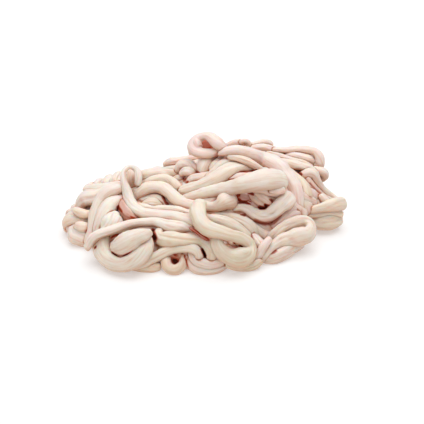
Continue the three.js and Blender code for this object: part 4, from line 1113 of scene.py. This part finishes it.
def blanched_gut(colours):
    """Blanched pork gut, washed and still wet: a pale, milk-white wall that light sinks into, more ivory,
    pinker or peachier from strand to strand, with streaks along it, a tan painted shade on its underside and
    a painted highlight on its top, warm painted shade where strands crowd and warm lines of it where they
    touch, painted shade in the deepest pits, and blood in the pools, which in the deep gaps is partly
    painted shade."""
    material = make_material("blanched_wet_gut")
    tree = material.node_tree
    read = {name: add_node(tree, "ShaderNodeAttribute", {"attribute_name": name})
            for name in ("grain", "tint", "ivory", "crowding", "touching", "blood")}
    ivoriness, crowded, touching, blood = (
        read[name].outputs["Fac"] for name in ("ivory", "crowding", "touching", "blood"))
    pinkness, peachness, bloodiness = add_node(tree, "ShaderNodeSeparateXYZ", None, {
        "Vector": read["tint"].outputs["Vector"]}).outputs
    wall = add_node(tree, "ShaderNodeNewGeometry").outputs["Normal"]
    facing_up = add_node(tree, "ShaderNodeSeparateXYZ", None, {"Vector": wall}).outputs["Z"]
    place = add_node(tree, "ShaderNodeTexCoord").outputs["Object"]

    # The strand's own colour, shifted by patches of blood and fat about 30 mm across: the share of each
    # colour in it, between which values of the patches it shifts, and how far
    patches = add_node(tree, "ShaderNodeTexNoise", None, {
        "Vector": place, "Scale": 1 / 0.030, "Detail": 2.0, "Roughness": 0.5}).outputs["Fac"]
    body = (*colours.cream, 1.0)
    for share, low, high, shift, colour in (
            (ivoriness, 0.3, 0.7, 0.2, colours.ivory),
            (pinkness, 0.3, 0.7, 0.3, colours.pink),
            (peachness, 0.35, 0.65, -0.2, colours.peach)):
        patchy = add_node(tree, "ShaderNodeMapRange", {"interpolation_type": "LINEAR"}, {
            "Value": patches, "From Min": low, "From Max": high, "To Min": -shift, "To Max": shift})
        shifted = add_node(tree, "ShaderNodeMath", {"operation": "ADD", "use_clamp": True}, {
            0: share, 1: patchy.outputs["Result"]})
        body = add_node(tree, "ShaderNodeMix", {"data_type": "RGBA"}, {
            "Factor": shifted.outputs[0], 6: body, 7: (*colour, 1.0)}).outputs[2]

    # Streaks along the wall, about 2.6 mm wide and 30 mm long
    streak_place = add_node(tree, "ShaderNodeVectorMath", {"operation": "MULTIPLY"}, {
        0: read["grain"].outputs["Vector"], 1: (1 / 2.6, 1 / 2.6, 1 / 30)}).outputs[0]
    streaks = add_node(tree, "ShaderNodeTexNoise", None, {
        "Vector": streak_place, "Scale": 1.0, "Detail": 3.0, "Roughness": 0.55}).outputs["Fac"]

    # Blood in the wall: what the pools give, which in the deep gaps is partly painted shade, and the
    # strand's own stain
    pool_share = add_node(tree, "ShaderNodeMapRange", {"interpolation_type": "SMOOTHSTEP"}, {
        "Value": blood, "From Min": 0.0, "From Max": 0.45, "To Min": 0.0, "To Max": 0.9})
    stained = add_node(tree, "ShaderNodeMath", {"operation": "ADD", "use_clamp": True}, {
        0: pool_share.outputs["Result"], 1: bloodiness}).outputs[0]

    # Layers of colour: the colour, its share at its fullest, and what it follows from where to where. First
    # the streaks, then a tan painted shade on the undersides and a painted highlight on the tops, then warm
    # painted shade where strands crowd and a brown line of painted shade where they touch, then painted
    # shade, dark red-brown, in the deepest pits, and last blood from the strand's own stain and from the
    # pools, whose dark middles in the deep gaps are partly painted shade
    for colour, share, kind, follows, low, high in (
            (colours.milky_and_top_highlight, 0.45, "SMOOTHSTEP", streaks, 0.5, 0.75),
            (colours.shade, 0.42, "SMOOTHSTEP", streaks, 0.5, 0.28),
            # Painted shade: the undersides darker and tan
            (colours.underside_shade, 0.75, "SMOOTHSTEP", facing_up, 0.45, -0.75),
            # Painted highlight: the tops lighter
            (colours.milky_and_top_highlight, 0.38, "SMOOTHSTEP", facing_up, 0.55, 1.0),
            # Painted shade where strands crowd
            (colours.shade, 0.65, "SMOOTHSTEP", crowded, 0.4, 1.6),
            # Painted shade, a warm halo and a brown line, where strands touch
            (colours.shade, 0.5, "SMOOTHSTEP", touching, 0.05, 0.7),
            (colours.crease, 0.8, "SMOOTHSTEP", touching, 0.4, 1.0),
            # Painted shade in the deepest pits, dark red-brown
            (colours.pit, 0.6, "SMOOTHSTEP", crowded, 1.5, 2.5),
            # Blood of the strand's own stain and of the pools, whose dark clots in the deep gaps are partly
            # painted shade
            (colours.blood, 1.0, "LINEAR", stained, 0.0, 1.0),
            (colours.clot_and_hole_shade, 1.0, "SMOOTHSTEP", blood, 0.4, 1.0)):
        amount = add_node(tree, "ShaderNodeMapRange", {"interpolation_type": kind}, {
            "Value": follows, "From Min": low, "From Max": high, "To Min": 0.0, "To Max": share})
        body = add_node(tree, "ShaderNodeMix", {"data_type": "RGBA"}, {
            "Factor": amount.outputs["Result"], 6: body, 7: (*colour, 1.0)}).outputs[2]

    # The wet surface: rougher in patches, and duller and with less water on it where blood stains it and
    # where the pools' painted shade lies
    surface = {}
    for name, kind, follows, low, high, start, end in (
            ("Roughness", "LINEAR", patches, 0.3, 0.7, 0.42, 0.55),
            ("Specular IOR Level", "SMOOTHSTEP", stained, 0.0, 0.6, 0.35, 0.06),
            ("Coat Weight", "SMOOTHSTEP", stained, 0.0, 0.3, 0.12, 0.0)):
        surface[name] = add_node(tree, "ShaderNodeMapRange", {"interpolation_type": kind}, {
            "Value": follows, "From Min": low, "From Max": high, "To Min": start, "To Max": end,
        }).outputs["Result"]

    # Relief of the streaks, and lumps of about 4 mm under the wall
    lumps = add_node(tree, "ShaderNodeTexNoise", None, {
        "Vector": place, "Scale": 1 / 0.004, "Detail": 2.0, "Roughness": 0.5})
    relief = add_node(tree, "ShaderNodeMath", {"operation": "MULTIPLY_ADD"}, {
        0: lumps.outputs["Fac"], 1: 0.5, 2: streaks})
    bump = add_node(tree, "ShaderNodeBump", None, {
        "Strength": 0.4, "Distance": 0.0009, "Height": relief.outputs[0]})
    shader = add_node(tree, "ShaderNodeBsdfPrincipled", {"subsurface_method": "RANDOM_WALK"}, {
        **surface, "Base Color": body, "IOR": 1.4, "Subsurface Weight": 0.65,
        "Subsurface Radius": (1.0, 0.55, 0.36), "Subsurface Scale": 0.0028, "Coat Roughness": 0.25,
        "Coat IOR": 1.33, "Normal": bump.outputs["Normal"]})
    add_node(tree, "ShaderNodeOutputMaterial", None, {"Surface": shader.outputs["BSDF"]})
    return material


def inner_folds(colours):
    """The wet inner folds of the heap: the same gut, in the dark and stained with blood in spots of about 12
    mm, coloured all over in a dark blood red-brown that is partly painted shade, and darkest where the pools
    lie."""
    material = make_material("inner_gut_folds")
    tree = material.node_tree
    place = add_node(tree, "ShaderNodeTexCoord")
    stains = add_node(tree, "ShaderNodeTexNoise", None, {
        "Vector": place.outputs["Object"], "Scale": 1 / 0.012, "Detail": 3.0})
    blood = add_node(tree, "ShaderNodeAttribute", {"attribute_name": "blood"})
    # Painted shade: the core is a dark blood red-brown all over, since it lies in the dark
    body = (*colours.blood, 1.0)
    for share, colour in ((stains, colours.pit), (blood, colours.clot_and_hole_shade)):
        body = add_node(tree, "ShaderNodeMix", {"data_type": "RGBA"}, {
            "Factor": share.outputs["Fac"], 6: body, 7: (*colour, 1.0)}).outputs[2]
    bump = add_node(tree, "ShaderNodeBump", None, {
        "Strength": 0.5, "Distance": 0.002, "Height": stains.outputs["Fac"]})
    shader = add_node(tree, "ShaderNodeBsdfPrincipled", None, {
        "Base Color": body, "Roughness": 0.5, "IOR": 1.4, "Specular IOR Level": 0.06,
        "Subsurface Weight": 0.3, "Subsurface Radius": (1.0, 0.4, 0.3), "Subsurface Scale": 0.003,
        "Normal": bump.outputs["Normal"]})
    add_node(tree, "ShaderNodeOutputMaterial", None, {"Surface": shader.outputs["BSDF"]})
    return material


def sweep_paper(colours):
    """White studio sweep: matte paper with a faint tooth, drawn 1 mm across so that it shows, and lit a
    little from below, more so far off, where the softboxes don't reach."""
    material = make_material("white_sweep_paper")
    tree = material.node_tree
    place = add_node(tree, "ShaderNodeTexCoord").outputs["Object"]
    tooth = add_node(tree, "ShaderNodeTexNoise", None, {"Vector": place, "Scale": 900.0})
    bump = add_node(tree, "ShaderNodeBump", None, {
        "Strength": 0.02, "Distance": 0.0002, "Height": tooth.outputs["Fac"]})
    far_off = add_node(tree, "ShaderNodeVectorMath", {"operation": "LENGTH"}, {0: place})
    lit_from_below = add_node(tree, "ShaderNodeMapRange", {"interpolation_type": "SMOOTHSTEP"}, {
        "Value": far_off.outputs["Value"], "From Min": 0.4, "From Max": 1.6, "To Min": 0.35, "To Max": 0.85})
    shader = add_node(tree, "ShaderNodeBsdfPrincipled", None, {
        "Base Color": (*colours.floor, 1.0), "Roughness": 0.9, "Specular IOR Level": 0.1,
        "Emission Color": (1.0, 1.0, 1.0, 1.0), "Emission Strength": lit_from_below.outputs["Result"],
        "Normal": bump.outputs["Normal"]})
    add_node(tree, "ShaderNodeOutputMaterial", None, {"Surface": shader.outputs["BSDF"]})
    return material


# Properties, operators and panel

class GutSizes(bpy.types.PropertyGroup):
    """Sizes of the strands."""

    fullness: FloatProperty(
        name="Fullness", description="How much fuller the strands are than they are drawn",
        default=1.06, min=0.8, max=1.3, subtype="FACTOR")
    ring_step: FloatProperty(
        name="Ring step", description="Distance between a strand's rings", default=0.0018,
        min=0.001, max=0.01, unit="LENGTH")
    sides: IntProperty(
        name="Sides", description="Points of a ring of a strand that shows", default=40, min=8, max=64)
    hidden_sides: IntProperty(
        name="Hidden sides", description="Points of a ring of a strand at the back", default=28,
        min=8, max=64)
    seed: IntProperty(
        name="Seed", description="Seed of the unevenness of the strands", default=11, min=0)


def colour_setting(name, description, value):
    """A colour that a user would change, from its sRGB hex value."""
    return FloatVectorProperty(name=name, description=description, default=from_hex(value),
                               subtype="COLOR", min=0, max=1)


class GutColours(bpy.types.PropertyGroup):
    """Colours of the gut and the floor."""

    cream: colour_setting("Cream", "Where fat clings to the wall", "#f4ebdf")
    ivory: colour_setting("Ivory", "Where the wall is thin and clean", "#e0d3b8")
    # Painted shade: the tan undersides of the strands
    underside_shade: colour_setting("Drained", "Undersides, where the juice drains to", "#cfa281")
    pink: colour_setting("Pink", "Where blood was left in the wall", "#f0d6ce")
    peach: colour_setting("Peach", "Where the wall is thick and fatty", "#f0d5bb")
    # Painted highlight on the tops of strands, and the pale streaks along the wall
    milky_and_top_highlight: colour_setting("Milky", "Tops of strands, and streaks along the wall", "#faf5f0")
    # Painted shade where strands crowd and touch, and the darker streaks along the wall
    shade: colour_setting("Shade", "Where strands crowd together", "#dfa383")
    # Painted shade: the brown line where strands touch
    crease: colour_setting("Crease", "Lines where strands touch", "#b36b44")
    # Painted shade in the deepest pits, dark red-brown; on the core, its darker spots
    pit: colour_setting("Pit", "Blood in the deepest pits", "#99482b")
    # Blood of stains and pools, partly painted shade in the deep gaps, and the core's colour, which is
    # partly painted shade
    blood: colour_setting("Blood", "Fresh blood at the edge of a pool", "#b54c30")
    # Painted shade in holes, slits and creases, near black, and clotted blood in the middle of a pool
    clot_and_hole_shade: colour_setting("Clot", "Clotted blood in the middle of a pool", "#3a1109")
    floor: colour_setting("Floor", "Paper that the heap lies on", "#d8d8d8")


def lay_region(scene, name, tints, seed_shift, hidden=False):
    """Makes the strands of a region as one piece of gut. Those of the hidden sides have coarser meshes."""
    sizes = scene.gut_sizes
    coarseness = HIDDEN_COARSENESS if hidden else 1
    tube_sizes = {"fullness": sizes.fullness, "ring_step": sizes.ring_step / METRES * coarseness,
                  "sides": sizes.hidden_sides if hidden else sizes.sides}
    piece = join_tubes(name, laid_heap()[name], tints, sizes.seed + seed_shift, tube_sizes)
    settle(piece, bpy.data.materials.get("blanched_wet_gut") or blanched_gut(scene.gut_colours))


def lay_hidden_region(scene, name):
    """Makes a region of the hidden sides, with all of its strands in one tint."""
    tint, seed_shift = HIDDEN_REGIONS[name]
    lay_region(scene, name, [tint] * len(laid_heap()[name]), seed_shift, hidden=True)


class GUT_OT_core(bpy.types.Operator):
    """Builds the dark core that the strands lie on, whose darkness is partly painted shade"""

    bl_idname = "gut.core"
    bl_label = "Core of Inner Folds"

    def execute(self, context):
        settle(build_core("core_of_inner_folds"), inner_folds(context.scene.gut_colours))
        return {"FINISHED"}


class GUT_OT_rows(bpy.types.Operator):
    """Lays the rows of gut that run round the core"""

    bl_idname = "gut.rows"
    bl_label = "Rows Round the Core"

    def execute(self, context):
        lay_hidden_region(context.scene, "rows_round_core")
        return {"FINISHED"}


class GUT_OT_inner(bpy.types.Operator):
    """Lays the inner loops that cover the core under all others"""

    bl_idname = "gut.inner_loops"
    bl_label = "Inner Loops"

    def execute(self, context):
        lay_hidden_region(context.scene, "inner_loops")
        return {"FINISHED"}


class GUT_OT_thrown(bpy.types.Operator):
    """Lays the loops that are thrown over the back and the ends"""

    bl_idname = "gut.thrown_loops"
    bl_label = "Thrown Loops"

    def execute(self, context):
        lay_hidden_region(context.scene, "thrown_loops")
        return {"FINISHED"}


class GUT_OT_drawn(bpy.types.Operator):
    """Lays the loops that show from the front, one piece for each region of the heap"""

    bl_idname = "gut.drawn_loops"
    bl_label = "Loops That Show"

    def execute(self, context):
        for seed_shift, (name, region, tint) in enumerate(DRAWN_REGIONS, DRAWN_SEED_SHIFT):
            tints = [STRAND_TINTS.get(strand, tint) for strand in region]
            lay_region(context.scene, name, tints, seed_shift)
        return {"FINISHED"}


class GUT_OT_stage(bpy.types.Operator):
    """Adds the floor, the studio lights and the camera"""

    bl_idname = "gut.stage"
    bl_label = "Stage"

    def execute(self, context):
        scene = context.scene
        add_floor(scene)
        add_lights(scene)
        add_camera(scene)
        scene.view_settings.view_transform = "Standard"
        scene.view_settings.look = "None"
        return {"FINISHED"}


class GUT_PT_panel(bpy.types.Panel):
    """Lists the steps of the heap in the sidebar"""

    bl_idname = "GUT_PT_panel"
    bl_label = "Gut Heap"
    bl_space_type = "VIEW_3D"
    bl_region_type = "UI"
    bl_category = "Gut Heap"

    def draw(self, context):
        layout = self.layout
        for operator in OPERATORS:
            layout.operator(operator.bl_idname)
        for group in (context.scene.gut_sizes, context.scene.gut_colours):
            box = layout.box()
            for name in group.__annotations__:
                box.prop(group, name)


OPERATORS = (GUT_OT_core, GUT_OT_inner, GUT_OT_rows, GUT_OT_thrown, GUT_OT_drawn, GUT_OT_stage)
CLASSES = (GutSizes, GutColours, *OPERATORS, GUT_PT_panel)


# Core and stage

def build_core(name):
    """The core's lobes as one piece, grown into one skin, a little inside the strands."""
    piece = bpy.data.objects.new(name, bpy.data.meshes.new(name))
    bpy.context.scene.collection.objects.link(piece)
    lobes = bmesh.new()
    for middle, half in zip(LOBE_MIDDLES, LOBES[:, 2:]):
        made = bmesh.ops.create_icosphere(lobes, subdivisions=LOBE_DIVISIONS, radius=1.0)
        for vertex in made["verts"]:
            grown = np.array(vertex.co) * (half - CORE_INSET)
            vertex.co = (grown + middle - np.array(HEAP_MIDDLE)) * METRES
    lobes.to_mesh(piece.data)
    lobes.free()
    skin = piece.modifiers.new("skin", "REMESH")
    skin.mode = "VOXEL"
    skin.voxel_size = CORE_VOXEL
    smooth = piece.modifiers.new("soft joins", "SMOOTH")
    smooth.iterations = CORE_SMOOTHINGS
    graph = bpy.context.evaluated_depsgraph_get()
    mesh = bpy.data.meshes.new_from_object(piece.evaluated_get(graph))
    piece.modifiers.clear()
    piece.data = mesh
    points = np.zeros(len(mesh.vertices) * 3)
    mesh.vertices.foreach_get("co", points)
    points = points.reshape(-1, 3)
    points[:, 2] = np.maximum(points[:, 2], CORE_CLEARANCE)
    mesh.vertices.foreach_set("co", points.ravel())
    mesh.polygons.foreach_set("use_smooth", np.ones(len(mesh.polygons), bool))
    blood = mesh.attributes.new("blood", "FLOAT", "POINT")
    normals = np.zeros(len(points) * 3)
    mesh.vertices.foreach_get("normal", normals)
    places = points / METRES + np.array(HEAP_MIDDLE)
    pooled = pooled_blood_and_shade(places, normals.reshape(-1, 3), np.ones(len(points)))
    blood.data.foreach_set("value", pooled.astype(np.float32))
    mesh.update()
    return piece


def add_floor(scene):
    """A pale floor, wide enough to fill the view."""
    mesh = bpy.data.meshes.new("floor")
    corners = [(x * FLOOR_HALF, y * FLOOR_HALF, 0) for x, y in ((-1, -1), (1, -1), (1, 1), (-1, 1))]
    mesh.from_pydata(corners, [], [(0, 1, 2, 3)])
    floor = bpy.data.objects.new("floor", mesh)
    scene.collection.objects.link(floor)
    mesh.materials.append(sweep_paper(scene.gut_colours))


def add_lights(scene):
    """A wide soft light overhead, a weaker one in front, and a white surround."""
    world = bpy.data.worlds.new("white_surround")
    world.use_nodes = True
    background = world.node_tree.nodes["Background"]
    background.inputs["Color"].default_value = (1.0, 1.0, 1.0, 1.0)
    background.inputs["Strength"].default_value = SURROUND_STRENGTH
    scene.world = world
    for name, (place, size, power) in SOFTBOXES.items():
        add_softbox(scene, name, place, size, power)


def add_softbox(scene, name, place, size, power):
    """A square soft light that faces the heap."""
    light = bpy.data.lights.new(name, "AREA")
    light.shape = "SQUARE"
    light.size = size
    light.energy = power
    lamp = bpy.data.objects.new(name, light)
    lamp.location = place
    lamp.rotation_mode = "QUATERNION"
    lamp.rotation_quaternion = Vector(place).to_track_quat("Z", "Y")
    scene.collection.objects.link(lamp)


def add_camera(scene):
    """The camera stands where the eye of the drawing is."""
    lens = bpy.data.cameras.new("camera")
    lens.sensor_width = SENSOR_WIDTH
    lens.lens = LENS
    camera = bpy.data.objects.new("camera", lens)
    camera.location = (FRONT["eye"] - np.array(HEAP_MIDDLE)) * METRES
    camera.rotation_mode = "QUATERNION"
    camera.rotation_quaternion = Vector(FRONT["away"]).to_track_quat("Z", "Y")
    scene.collection.objects.link(camera)
    scene.camera = camera


def register():
    """Registers the classes and hangs the sizes and colours on the scene."""
    for kind in CLASSES:
        bpy.utils.register_class(kind)
    bpy.types.Scene.gut_sizes = PointerProperty(type=GutSizes)
    bpy.types.Scene.gut_colours = PointerProperty(type=GutColours)


def unregister():
    """Takes the sizes, colours and classes away again."""
    del bpy.types.Scene.gut_colours
    del bpy.types.Scene.gut_sizes
    for kind in reversed(CLASSES):
        bpy.utils.unregister_class(kind)


def main():
    """Builds the heap and its stage."""
    register()
    bpy.ops.gut.core()
    bpy.ops.gut.inner_loops()
    bpy.ops.gut.rows()
    bpy.ops.gut.thrown_loops()
    bpy.ops.gut.drawn_loops()
    bpy.ops.gut.stage()


if __name__ == "__main__":
    main()
